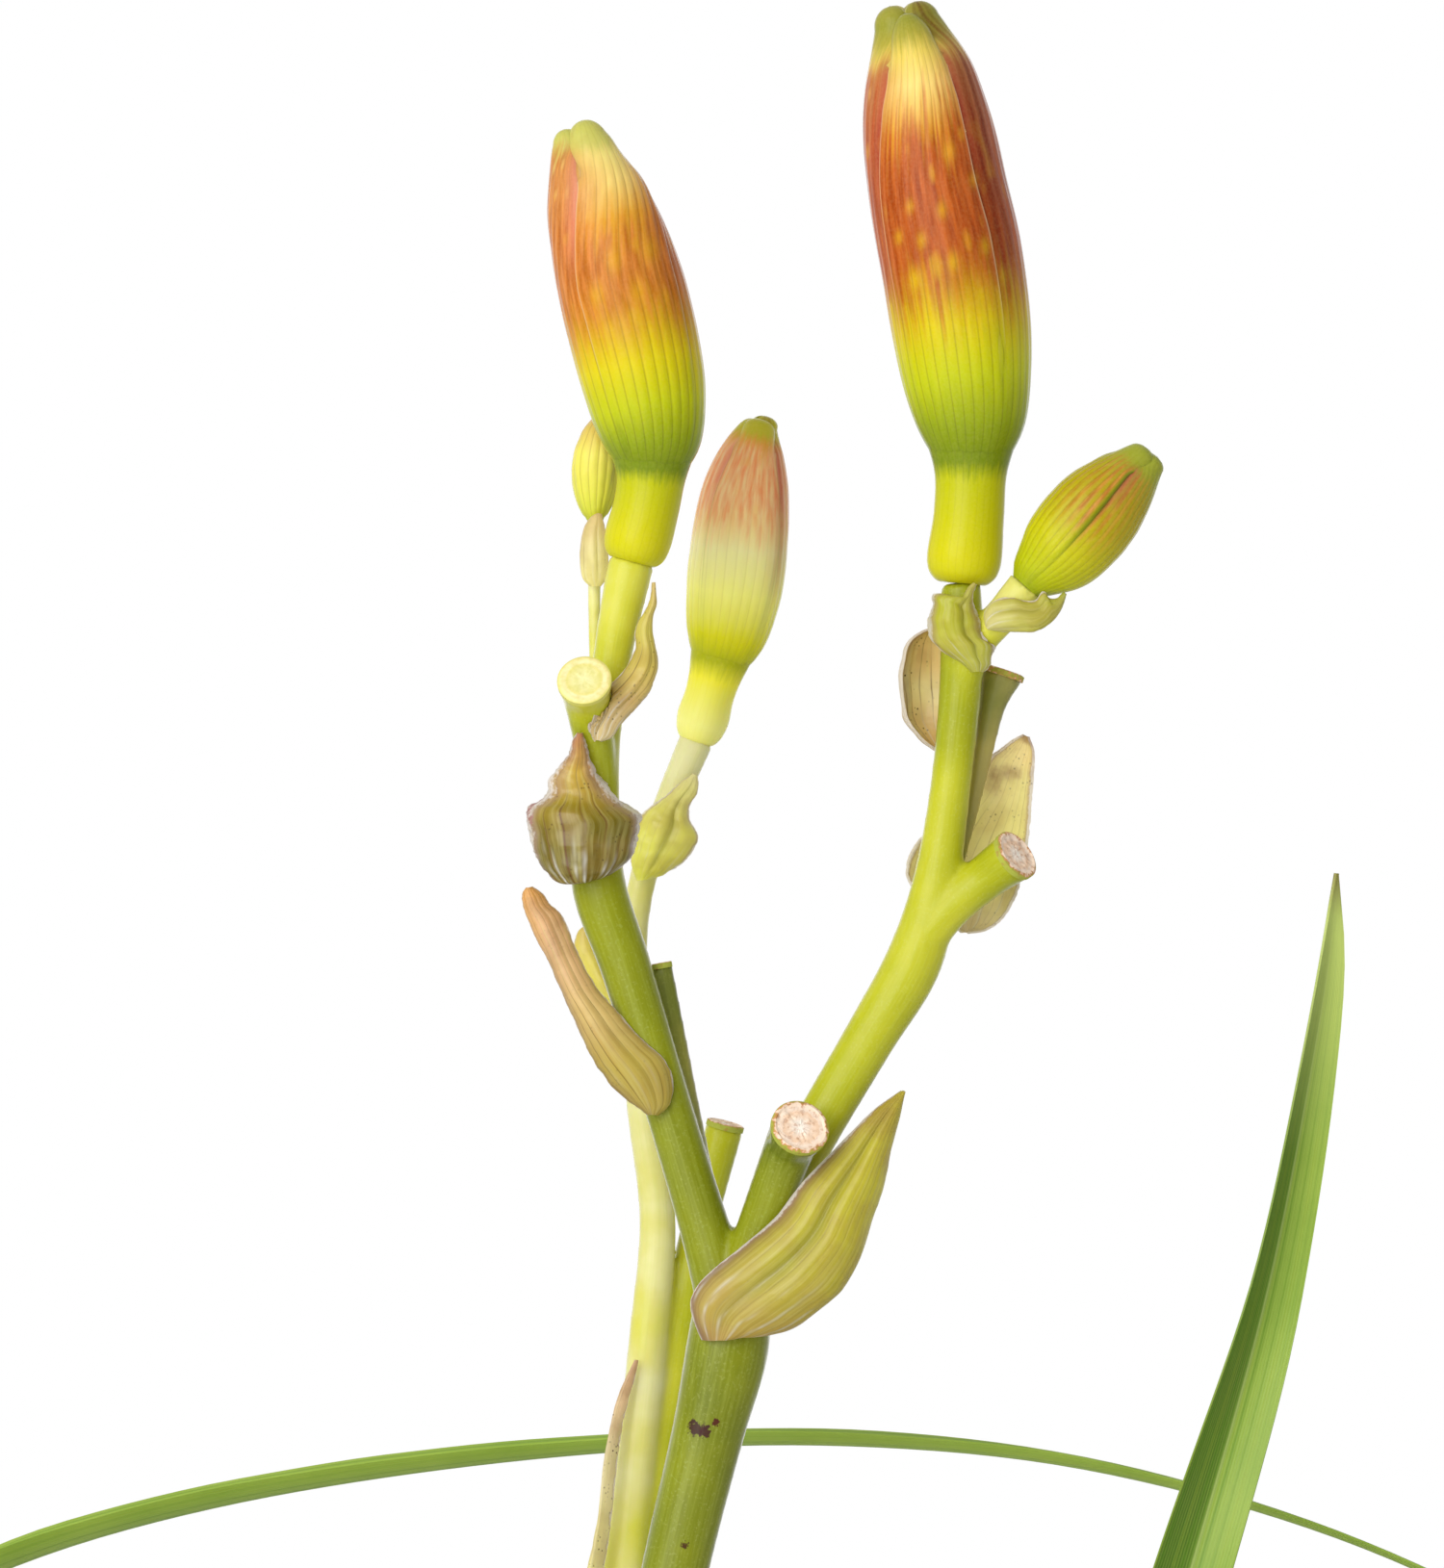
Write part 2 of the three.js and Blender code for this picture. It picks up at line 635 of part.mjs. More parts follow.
const BUDS = {
  bud_right_large: {
    spine: [
      [81.65, 0, 545, 3.9],
      [81.9, 0, 547.5, 4.8],
      [82.6, 0, 554, 4.6],
      [82.9, 0, 560, 4.85],
      [82.9, 0, 566, 7.2],
      [82.3, 0, 572.6, 8.5],
      [81.4, 0, 580, 9],
      [80.2, 0, 588, 9.1],
      [78.5, 0, 596.6, 8.9],
      [77.1, 0, 605, 8.2],
      [76.2, 0, 611, 7],
      [75.3, 0, 616, 5.1],
      [75, 0, 618, 3.8],
    ],
    facing: -104,
    tipRise: 2.2,
  },
  bud_left_large: {
    spine: [
      [38.9, 0, 547.8, 3.7],
      [39.6, 0, 550.4, 4.35],
      [40.8, 0, 555, 4.3],
      [41.4, 0, 559.2, 4.6],
      [41.5, 0, 563.6, 6.5],
      [40.8, 0, 569, 7.7],
      [39, 0, 577.5, 8.2],
      [36.7, 0, 586.6, 7.9],
      [34.3, 0, 595, 6.5],
      [32.8, 0, 600.5, 4.6],
      [32.2, 0, 602.8, 3.3],
    ],
    facing: -78,
    tipRise: 1.9,
  },
  bud_middle: {
    spine: [
      [47.1, 30, 524.6, 2.7],
      [48, 30, 527.5, 3.5],
      [49, 30, 531, 3.3],
      [50, 30, 534.6, 3.8],
      [51.2, 30, 539, 5.4],
      [52.2, 30, 545, 6.3],
      [53, 30, 552, 6.3],
      [53.8, 30, 558.5, 5.6],
      [54.9, 30, 564, 3.9],
      [55.6, 30, 566.8, 2.5],
    ],
    facing: -85,
    tipRise: 1.6,
  },
  bud_right_small: {
    spine: [
      [89.8, -3.7, 544.5, 2.4],
      [91.3, -3.7, 546.1, 3.6],
      [93.6, -3.7, 548.3, 5.2],
      [96.4, -3.7, 551.2, 5.85],
      [99.7, -3.7, 554.8, 5.6],
      [103, -3.7, 558.3, 4.2],
      [105.6, -3.7, 561, 2.6],
    ],
    facing: -120,
    tipRise: 1.4,
  },
  bud_left_small: {
    spine: [
      [34, 6.8, 553.4, 1.3],
      [34, 7, 556.4, 2.6],
      [34.1, 7.2, 560.5, 3.1],
      [34.6, 7.4, 564.5, 2.4],
      [35.2, 7.6, 567.4, 0.9],
    ],
    tipRise: 0,
  },
};

// ---------------------------------------------------------------- bracts

// Each bract is a small boat: its keel line from root to tip, the way it opens, and the half width
// and half wrap angle of its rounded section at even stations along the keel.
const BRACTS = {
  bract_fork: {
    keel: [[51.5, -6.3, 448.6], [59, -7.6, 453.8], [66, -6.6, 463], [70.8, -4.6, 471.5], [73.9, -2.5, 479.1]],
    opens: [-0.5, 0.75, 0.45],
    halfWidth: [7, 9.5, 9, 6, 0.7],
    wrap: [80, 80, 72, 60, 45],
  },
  bract_left_low: {
    keel: [[42.4, -4.9, 477], [37.4, -5.4, 482.4], [33.2, -4.4, 490.4], [28.8, -2.6, 498.6], [25, -1, 505.2]],
    opens: [0.42, 0.88, 0.25],
    halfWidth: [3.5, 5.2, 4.8, 3.4, 0.6],
    wrap: [65, 75, 75, 70, 50],
  },
  bract_left_cup: {
    keel: [[34, -4.6, 506.4], [33.2, -8.2, 510.5], [32.4, -9, 516], [31.9, -8.6, 521], [31.7, -7.6, 525.8]],
    opens: [0, 1, 0],
    halfWidth: [6, 12, 10.5, 4, 0.7],
    wrap: [90, 95, 80, 55, 45],
  },
  bract_left_high: {
    keel: [[36, -4.8, 524.2], [39.6, -5.2, 528.2], [42.4, -4.4, 533], [43, -3, 538], [41.9, -2, 542.7]],
    opens: [-0.65, 0.7, 0.3],
    halfWidth: [3, 4.6, 4.6, 3.2, 0.6],
    wrap: [65, 75, 72, 60, 45],
  },
  bract_small_bud: {
    keel: [[33.8, 3.4, 543.6], [33.2, 3, 547.2], [33.4, 3.4, 550.6], [34, 4.2, 554]],
    opens: [0.15, 1, 0],
    halfWidth: [1.2, 2.4, 2.2, 0.6],
    wrap: [60, 70, 65, 45],
  },
  bract_right_cup: {
    keel: [[82.6, -4.2, 533], [80.8, -6.2, 536.4], [80.2, -6.8, 540.4], [80.9, -6, 544.6]],
    opens: [0.1, 1, 0.1],
    halfWidth: [2.6, 6, 6.4, 3],
    wrap: [60, 85, 90, 60],
  },
  bract_side_bud: {
    keel: [[85, -5.4, 537.2], [88.6, -6.6, 537.2], [92.6, -6.4, 539.6], [95.8, -5.2, 543.4]],
    opens: [-0.4, 0.35, 0.8],
    halfWidth: [1.8, 3, 2.6, 0.6],
    wrap: [60, 70, 65, 45],
  },
  bract_right_side: {
    keel: [[79.4, 4.2, 523], [75.6, 3.8, 527], [74, 3.2, 532], [75, 2.8, 536], [77.6, 2.6, 539.4]],
    opens: [0.75, -0.65, 0],
    halfWidth: [2.4, 4.6, 5, 4, 1.4],
    wrap: [60, 75, 78, 72, 55],
  },
  bract_right_low: {
    keel: [[79.4, 3.8, 501.4], [84.6, 6.4, 503.4], [89.2, 7.8, 509], [90.8, 7.4, 516.5], [90.2, 5.8, 525.5]],
    opens: [-0.5, -0.85, 0.15],
    halfWidth: [3.4, 6.8, 7.2, 5, 0.8],
    wrap: [60, 78, 72, 60, 45],
  },
  bract_rear_low: {
    keel: [[33, 26, 389], [31.6, 25.4, 402], [32.8, 26, 416], [34.8, 27, 430], [38, 27.6, 442]],
    opens: [0.8, 0.6, 0],
    halfWidth: [4, 5.6, 5, 3.2, 0.6],
    wrap: [70, 75, 72, 60, 45],
  },
  bract_rear_high: {
    keel: [[38, 26.8, 484.6], [35.4, 26.4, 489.6], [33, 27, 495.4], [31.5, 28, 500.6]],
    opens: [0.75, 0.5, 0.35],
    halfWidth: [2.2, 3.6, 3, 0.6],
    wrap: [62, 72, 66, 45],
  },
  bract_rear_cup: {
    keel: [[41.8, 26.8, 505.4], [43.6, 25.2, 509], [44.4, 25.2, 513.6], [44.4, 26.2, 518.6]],
    opens: [-0.1, 1, 0],
    halfWidth: [2.8, 5.8, 5.2, 1.2],
    wrap: [65, 85, 80, 50],
  },
};

function cuppedSection(halfWidth, wrap) {
  const radius = halfWidth / wrap;
  return [-1, -0.6, -0.2, 0.2, 0.6, 1].map((s) => {
    return new THREE.Vector2(radius * Math.sin(wrap * s), radius * (1 - Math.cos(wrap * s)));
  });
}

function bractGeometry({ keel, opens, halfWidth, wrap }, stems) {
  const first = new THREE.Vector3().subVectors(vector(keel[1]), vector(keel[0]));
  const side = new THREE.Vector3().crossVectors(vector(opens), first).normalize();
  const frames = framesAlong(keel, BRACT.steps, side);
  const section = (t) => cuppedSection(profile(halfWidth, t), radians(profile(wrap, t)));
  const boat = solidOf(blade(frames, section, BRACT.thickness));
  return geometryOf(largest(boat.subtract(stems)));
}

// ---------------------------------------------------------------- the plant

function piece(name, geometry, look) {
  geometry.computeVertexNormals();
  const mesh = new THREE.Mesh(geometry, material(look));
  mesh.name = name;
  return mesh;
}

const plant = new THREE.Group();
plant.add(piece("pot", potGeometry(), "clay"));
plant.add(piece("soil", soilGeometry(), "soil"));
for (const [name, fan] of Object.entries(FANS)) {
  plant.add(piece(`crown_${name}`, crownGeometry(fan), "crown"));
}
plant.add(...leafMeshes());

plant.add(piece("scape_front", geometryOf(aboveCrown(scapeSolid(FRONT_SCAPE))), "scape"));
plant.add(piece("scape_rear", geometryOf(aboveCrown(scapeSolid(REAR_SCAPE))), "scape"));

const stemsWith = (clearance) => scapeSolid(FRONT_SCAPE, clearance).add(scapeSolid(REAR_SCAPE, clearance));
const besideStems = stemsWith(BRACT.clearance);
for (const [name, bract] of Object.entries(BRACTS)) {
  plant.add(piece(name, bractGeometry(bract, besideStems), "bract"));
}
const onStems = stemsWith(BUD.seat);
for (const [name, bud] of Object.entries(BUDS)) {
  plant.add(piece(name, budGeometry(bud, onStems), "bud"));
}

export default plant;
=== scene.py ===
# %% [markdown]
# # A daylily in bud, growing in a clay pot
#
# The real thing is a garden perennial: fans of long keeled leaves, and bare flower stems, called
# scapes, that fork near the top, carry papery bracts at their joints and end in closed buds. The
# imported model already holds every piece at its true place. Here each plain solid gets a finer piece
# in the same place, and each finer piece gets a finish.
#
# Everything could be modelled point by point with a brush, but a plant repeats a few habits: a line
# that it grows along, a section, and a width that swells and tapers. So most pieces are drawn
# straight first, at their real size, and then laid along their line.

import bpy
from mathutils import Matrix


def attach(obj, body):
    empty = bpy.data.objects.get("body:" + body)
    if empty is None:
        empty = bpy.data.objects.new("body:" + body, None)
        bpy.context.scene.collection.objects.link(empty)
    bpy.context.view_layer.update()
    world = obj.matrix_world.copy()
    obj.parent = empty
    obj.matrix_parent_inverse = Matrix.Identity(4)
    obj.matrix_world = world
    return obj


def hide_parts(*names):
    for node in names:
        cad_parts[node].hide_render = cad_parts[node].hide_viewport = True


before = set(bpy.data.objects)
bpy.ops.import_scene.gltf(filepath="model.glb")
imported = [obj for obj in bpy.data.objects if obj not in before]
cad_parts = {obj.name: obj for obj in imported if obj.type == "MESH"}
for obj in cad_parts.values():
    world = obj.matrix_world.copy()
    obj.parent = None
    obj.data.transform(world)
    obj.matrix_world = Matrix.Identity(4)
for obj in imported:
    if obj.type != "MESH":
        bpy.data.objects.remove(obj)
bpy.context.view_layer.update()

import math
import random

import bpy
import numpy as np
from mathutils import Vector, noise

MM = 0.001
random.seed(7)

# %% [markdown]
# ## Colours and nodes
#
# A finish is a small network of nodes: patterns that say where something shows, and shades that are
# laid over one another there. Every node could be added with its own few lines. But a finish here
# has up to a hundred, so one function adds a node of any kind, and another lays shades over a
# colour, which every finish of the plant does several times.
#
# A noise pattern's scale is the number of its grains in one metre, so 2 / MM gives grains that are
# half a millimetre apart.


# %% A colour as it looks, made linear
def linear(hex_colour, gain=0.9, veil=0.014):
    """An sRGB colour such as "a0b040" as linear red, green, blue and alpha.

    Plant skin shines, which lays a thin white veil over its colour, and the lights change its
    brightness. So a colour as it looks on the plant has the veil taken off and the gain divided out.
    """
    channels = [int(hex_colour[k : k + 2], 16) / 255 for k in (0, 2, 4)]
    flat = [c / 12.92 if c <= 0.04045 else ((c + 0.055) / 1.055) ** 2.4 for c in channels]
    return tuple(min(1.0, max(0.0, c - veil) / gain) for c in flat) + (1.0,)


print("leaf green is", [round(c, 2) for c in linear("54762a")])


# %% Nodes, and layers of colour
def fill(tree, node, inputs):
    """Fill inputs by name, or in their order: a socket is linked, and a plain value is set."""
    named = inputs.items() if isinstance(inputs, dict) else enumerate(inputs)
    for name, value in named:
        if isinstance(value, bpy.types.NodeSocket):
            tree.links.new(value, node.inputs[name])
        else:
            node.inputs[name].default_value = value


def add(tree, kind, inputs=(), out=0, stops=(), **settings):
    """Add a node with its settings, its inputs and any colour stops, and return one of its outputs."""
    node = tree.nodes.new("ShaderNode" + kind)
    for name, value in settings.items():
        setattr(node, name, value)
    for k, (place, shade) in enumerate(stops):
        stop = node.color_ramp.elements[k] if k < 2 else node.color_ramp.elements.new(place)
        stop.position = place
        stop.color = linear(shade)
    fill(tree, node, inputs)
    return node.outputs[out]


# A Mix node of colours: its inputs are the share, as 0, and the colours, as 6 and 7.
RGBA = {"out": 2, "data_type": "RGBA"}


def lay_over(tree, colour, *layers):
    """Lay shades over a colour, one after another.

    A layer is a shade and a pattern that says how far it covers, from 0 to 1. Numbers after them
    spread the pattern: its value where the cover begins, and where it ends, and how far the shade
    covers at each.
    """
    for shade, pattern, *spread in layers:
        share = add(tree, "MapRange", (pattern, *spread)) if spread else pattern
        colour = add(tree, "Mix", {0: share, 6: colour, 7: linear(shade)}, **RGBA)
    return colour


def new_finish(name):
    """A new material, with its node tree and the main shader in it."""
    material = bpy.data.materials.new(name)
    material.use_nodes = True
    return material, material.node_tree, material.node_tree.nodes["Principled BSDF"]


print("finishes can be made from nodes and layers")

# %% [markdown]
# ## Camera, light and floor
#
# A plant on a light table is lit from all round, so that its thin parts glow and its wet-looking
# edges turn white. A white sky does that here: full behind the plant, and weaker at its sides and
# towards the viewer, as in a studio tent that is open at the front, so that only the thin edges catch
# the white and the skin keeps its colour. One large soft lamp at the front left models the round
# stems. The camera stands 1.1 m in front of the buds with a long lens, level with them. The pot
# stands on one large flat pale disc, which is a stage, and not part of the plant.

# %% Set the camera
# In millimetres: the middle of the view, as x and z, how far off the camera is, and the height it takes in.
VIEW = {"centre": (50.6, 519.0), "distance": 1100, "tall": 203.6, "sensor": 36}

camera_data = bpy.data.cameras.new("camera")
camera_data.sensor_width = VIEW["sensor"]
camera_data.lens = VIEW["sensor"] * VIEW["distance"] / VIEW["tall"]
camera_data.clip_start = 0.05
camera_data.clip_end = 50
camera = bpy.data.objects.new("camera", camera_data)
camera.location = (VIEW["centre"][0] * MM, -VIEW["distance"] * MM, VIEW["centre"][1] * MM)
camera.rotation_euler = (math.radians(90), 0, 0)
bpy.context.scene.collection.objects.link(camera)
bpy.context.scene.camera = camera
bpy.context.scene.view_settings.view_transform = "Standard"
print("camera lens", round(camera_data.lens, 1), "mm")


# %% Light the plant
def add_lamp(name, place, aim, size, watts):
    lamp = bpy.data.lights.new(name, "AREA")
    lamp.size = size
    lamp.energy = watts
    holder = bpy.data.objects.new(name, lamp)
    holder.location = place
    holder.rotation_euler = (Vector(aim) - Vector(place)).to_track_quat("-Z", "Y").to_euler()
    bpy.context.scene.collection.objects.link(holder)


sky = bpy.data.worlds.new("white sky")
sky.use_nodes = True
way = add(sky.node_tree, "TexCoord", out="Generated")
depth = add(sky.node_tree, "SeparateXYZ", [way], "Y")
tent = add(sky.node_tree, "MapRange", (depth, 0.0, 0.7, 0.35, 1.0))
fill(sky.node_tree, sky.node_tree.nodes["Background"], {"Color": (1, 1, 1, 1), "Strength": tent})
bpy.context.scene.world = sky
add_lamp("key lamp", place=(-0.8, -1.5, 1.1), aim=(0.05, 0, 0.45), size=1.6, watts=32)
print("lit by a white sky and a key lamp")


# %% Helpers that start a piece and edit it
def clear_selection():
    if bpy.context.object and bpy.context.object.mode != "OBJECT":
        bpy.ops.object.mode_set(mode="OBJECT")
    bpy.ops.object.select_all(action="DESELECT")


def start_circle(name, sides, radius, height, **settings):
    """A circle primitive at a height, all in millimetres, with its place in its mesh."""
    clear_selection()
    place = (0, 0, height * MM)
    bpy.ops.mesh.primitive_circle_add(vertices=sides, radius=radius * MM, location=place, **settings)
    piece = bpy.context.object
    piece.name = name
    bpy.ops.object.transform_apply(location=True)
    return piece


def edit_all():
    """Go into edit mode, with everything selected."""
    bpy.ops.object.mode_set(mode="EDIT")
    bpy.ops.mesh.select_all(action="SELECT")


def close_edit():
    """Turn all faces outwards, and leave edit mode."""
    bpy.ops.mesh.select_all(action="SELECT")
    bpy.ops.mesh.normals_make_consistent(inside=False)
    bpy.ops.object.mode_set(mode="OBJECT")


print("pieces start as primitives, and are shaped in edit mode")

# %% Lay the floor
FLOOR = {"radius": 2400, "border": 500, "drop": 0.2}

floor = start_circle("floor", 96, FLOOR["radius"], -FLOOR["drop"], fill_type="NGON")
edit_all()
bpy.ops.mesh.inset(thickness=FLOOR["border"] * MM)
bpy.ops.object.mode_set(mode="OBJECT")

floor_paint, tree, paint = new_finish("matt white floor paint")
spot = add(tree, "TexCoord", out="Object")
mottle = add(tree, "TexNoise", {"Vector": spot, "Scale": 9, "Detail": 4})
whites = {6: linear("efefec", 1, 0), 7: linear("f6f6f4", 1, 0)}
fill(tree, paint, {"Base Color": add(tree, "Mix", {0: mottle, **whites}, **RGBA), "Roughness": 0.75})
floor.data.materials.append(floor_paint)
print("floor radius", FLOOR["radius"], "mm")

# %% [markdown]
# ## Lines to grow along
#
# A stem, a leaf and a bract each follow a smooth line through a few points. A curve object could
# carry a bevel, but it gives no control of the section. So the line is worked out here, with a frame
# at every point of it: its direction, one direction across, and the direction square to both.


# %% A smooth line and its frames
def smooth_line(points, per_stretch=24):
    """A centripetal Catmull-Rom curve. Columns after x, y and z, such as a radius, go along with it."""
    knots = np.array(points, float)
    padded = np.vstack([2 * knots[0] - knots[1], knots, 2 * knots[-1] - knots[-2]])
    t = np.linspace(0, 1, per_stretch, endpoint=False)[:, None]
    rows = []
    for p0, p1, p2, p3 in zip(padded, padded[1:], padded[2:], padded[3:]):
        steps = (p1 - p0, p2 - p1, p3 - p2)
        d0, d1, d2 = (max(np.linalg.norm(step[:3]) ** 0.5, 1e-3) for step in steps)
        m1 = ((p1 - p0) / d0 - (p2 - p0) / (d0 + d1) + (p2 - p1) / d1) * d1
        m2 = ((p2 - p1) / d1 - (p3 - p1) / (d1 + d2) + (p3 - p2) / d2) * d1
        bend = (3 * (p2 - p1) - 2 * m1 - m2) * t**2 + (2 * (p1 - p2) + m1 + m2) * t**3
        rows.append(p1 + m1 * t + bend)
    rows.append(knots[-1:])
    return np.vstack(rows)


class Line:
    """A smooth line in millimetres that can be asked for a place, a frame or a column at any share."""

    def __init__(self, points, side=(0, 1, 0)):
        self.rows = smooth_line(points)
        steps = np.linalg.norm(np.diff(self.rows[:, :3], axis=0), axis=1)
        self.travelled = np.concatenate([[0], np.cumsum(steps)])
        self.length = self.travelled[-1]
        self.tangent = np.gradient(self.rows[:, :3], self.travelled, axis=0)
        self.tangent /= np.linalg.norm(self.tangent, axis=1)[:, None]
        self.across = np.empty_like(self.tangent)
        current = np.array(side, float)
        for k, along in enumerate(self.tangent):
            current = current - current.dot(along) * along
            current /= np.linalg.norm(current)
            self.across[k] = current
        self.normal = np.cross(self.tangent, self.across)

    def read(self, table, share):
        """The columns of a table at a share of the line's length, from 0 to 1."""
        place = np.clip(share, 0, 1) * self.length
        return np.stack([np.interp(place, self.travelled, column) for column in table.T], axis=-1)

    def column(self, number, share):
        """One column of the line's own points, such as its radius."""
        return np.interp(np.clip(share, 0, 1) * self.length, self.travelled, self.rows[:, number])

    def spots(self, share):
        return self.read(self.rows[:, :3], share)

    def place(self, share, across, normal):
        """World places, in millimetres, of points off the line, which runs on straight past its end."""
        beyond = np.maximum(np.asarray(share) - 1, 0)[..., None] * self.length * self.tangent[-1]
        return (
            self.spots(share)
            + beyond
            + self.read(self.across, share) * np.asarray(across)[..., None]
            + self.read(self.normal, share) * np.asarray(normal)[..., None]
        )


print("a line through two points 10 mm apart is", Line([(0, 0, 0), (10, 0, 0)]).length, "mm long")


# %% Sums that several pieces need
def smoothstep(x, low, high):
    """0 up to low, 1 from high on, and a smooth rise between."""
    t = np.clip((x - low) / (high - low), 0, 1)
    return t * t * (3 - 2 * t)


def wobble(x, y, scale, seed=0.0):
    """Smooth noise from about -1 to 1 at each x and y."""
    return np.array([noise.noise(Vector((a * scale, b * scale, seed))) for a, b in zip(x, y)])


def turned(x, y, angle):
    """Points in a plane, turned round its origin."""
    return x * np.cos(angle) - y * np.sin(angle), x * np.sin(angle) + y * np.cos(angle)


def spread_out(values, share):
    """Values at even steps, read at a share from 0 to 1."""
    return np.interp(share, np.linspace(0, 1, len(values)), values)


print("halfway up, a smooth rise is at", smoothstep(0.5, 0, 1))


# %% Helpers that read, move and finish a piece
def points_of(piece):
    """The piece's points, in metres, as rows of x, y and z."""
    flat = np.empty(len(piece.data.vertices) * 3)
    piece.data.vertices.foreach_get("co", flat)
    return flat.reshape(-1, 3)


def move_points(piece, points):
    piece.data.vertices.foreach_set("co", np.asarray(points, float).ravel())
    piece.data.update()


def store(piece, name, values):
    """Keep one number, or one x, y, z, on each point, for a material to read."""
    values = np.asarray(values, np.float32)
    flat = values.ndim == 1
    attribute = piece.data.attributes.new(name, "FLOAT" if flat else "FLOAT_VECTOR", "POINT")
    attribute.data.foreach_set("value" if flat else "vector", values.ravel())


def select_only(*pieces):
    clear_selection()
    for piece in pieces:
        piece.select_set(True)
    bpy.context.view_layer.objects.active = pieces[0]


def finish_with(piece, kind, **settings):
    """Add one modifier with its settings, and apply it."""
    select_only(piece)
    modifier = piece.modifiers.new(kind.lower(), kind)
    for name, value in settings.items():
        setattr(modifier, name, value)
    bpy.ops.object.modifier_apply(modifier=modifier.name)


def join(pieces, name):
    """Join pieces into the first one, under one name."""
    select_only(*pieces)
    if len(pieces) > 1:
        bpy.ops.object.join()
    pieces[0].name = name
    pieces[0].data.name = name
    return pieces[0]


def smooth_faces(piece, degrees=60):
    select_only(piece)
    bpy.ops.object.shade_smooth_by_angle(angle=math.radians(degrees))


def place_piece(piece, node, slot, *materials):
    """Give a finished piece its materials, hide the plain solid of its node, and let it ride on the plant's
    body.
    """
    for material in materials:
        piece.data.materials.append(material)
    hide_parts(node)
    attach(piece, "root")
    return piece


def faces_in(piece):
    """How many triangles a piece has."""
    return sum(len(face.vertices) - 2 for face in piece.data.polygons)


print("the floor has", faces_in(floor), "triangles")

# %% [markdown]
# ## Sheets
#
# A leaf, a bract and a petal are sheets. Each starts as a grid primitive with its own UV map, where
# u runs across the sheet and v along it. The grid is then folded, cupped and bent by formula, since
# no edit-mode operator bends a sheet along a line, and Solidify gives it its thickness.


# %% Add a sheet, or cut a piece level
def add_sheet(name, columns, rows):
    """A grid primitive. Returns it with s, from -1 to 1 across, and v, from 0 to 1 along."""
    clear_selection()
    bpy.ops.mesh.primitive_grid_add(x_subdivisions=columns, y_subdivisions=rows, size=1)
    sheet = bpy.context.object
    sheet.name = name
    flat = points_of(sheet)
    return sheet, 2 * flat[:, 0], flat[:, 1] + 0.5


def cut_level(piece, height):
    """Cut a piece off at a height in millimetres, and close the cut."""
    select_only(piece)
    edit_all()
    level = {"plane_co": (0, 0, height * MM), "plane_no": (0, 0, 1)}
    bpy.ops.mesh.bisect(**level, clear_inner=True, use_fill=True)
    bpy.ops.object.mode_set(mode="OBJECT")


print("sheets are grids, with one point more than faces each way")

# %% [markdown]
# ## Leaf blades
#
# A daylily leaf is a long strap folded along a keel, so that its section is a shallow V that closes
# towards its base. Parallel veins run from base to tip. The green is painted darker on the half that
# turns away from the light, as painted shade, and lighter towards the end, partly as painted light. A
# living leaf lets some light through, so the finish mixes a waxy skin with a translucent one.

# %% The finish of a leaf
VEINS_ACROSS = 26  # so they lie 0.6 mm apart on a blade 15 mm wide


def leaf_blade_finish():
    """Waxy green leaf skin: fine parallel veins, a paler keel, a pale base, painted light over the end,
    where it turns edge-on into shade, and a dry brown tip.
    """
    material, tree, skin = new_finish("leaf blade")
    across, along = add(tree, "SeparateXYZ", [add(tree, "UVMap")]).node.outputs[:2]
    tone = add(tree, "Attribute", out="Fac", attribute_name="tone")
    spot = add(tree, "TexCoord", out="Object")
    flat = add(tree, "CombineXYZ", (across, along))
    phase = add(tree, "Math", (across, VEINS_ACROSS * 2 * math.pi), operation="MULTIPLY")
    wave = add(tree, "Math", [phase], operation="COSINE")
    stretched = add(tree, "Mapping", {"Vector": flat, "Scale": (34, 2.5, 1)})
    streaks = add(tree, "TexNoise", {"Vector": stretched, "Scale": 1, "Detail": 3})
    veins = add(tree, "Math", (wave, streaks), operation="MULTIPLY")
    drawn = add(tree, "Mapping", {"Vector": flat, "Scale": (13, 0.7, 1)})
    bands = add(tree, "TexNoise", {"Vector": drawn, "Scale": 1, "Detail": 2})
    patches = add(tree, "TexNoise", {"Vector": spot, "Scale": 0.06 / MM, "Detail": 4})
    off_keel = add(tree, "Math", (across, 0.5), operation="SUBTRACT")
    beside_keel = add(tree, "Math", [off_keel], operation="ABSOLUTE")

    green = add(tree, "Mix", {0: tone, 6: linear("54762a"), 7: linear("b0c858")}, **RGBA)
    colour = lay_over(
        tree,
        green,
        ("b2cf62", veins, -0.6, 0.6, 0.0, 0.42),
        ("5c8c22", bands, 0.5, 0.68, 0.0, 0.55),
        ("b6c44c", bands, 0.3, 0.46, 0.4, 0.0),
        ("6b9a24", patches, 0.35, 0.75, 0.0, 0.35),
        ("c6d684", beside_keel, 0.0, 0.035, 0.6, 0.0),
        ("cdd39a", along, 0.0, 0.16, 0.9, 0.0),  # the pale base
        ("e2ec90", along, 0.9, 0.98, 0.0, 0.7),  # painted light over the end, which turns edge-on into shade
        ("8a6a35", along, 0.985, 1.0, 0.0, 0.6),  # the dry tip
    )
    relief = add(tree, "Bump", {"Height": veins, "Strength": 0.25, "Distance": 0.06 * MM})
    fill(tree, skin, {"Base Color": colour, "Normal": relief, "Roughness": 0.42, "IOR": 1.45})
    glow = add(tree, "BsdfTranslucent", {"Color": colour, "Normal": relief})
    both = add(tree, "MixShader", (0.28, skin.outputs[0], glow))
    fill(tree, tree.nodes["Material Output"], {"Surface": both})
    return material


leaf_blade = leaf_blade_finish()
print("leaf finish:", len(leaf_blade.node_tree.nodes), "nodes")

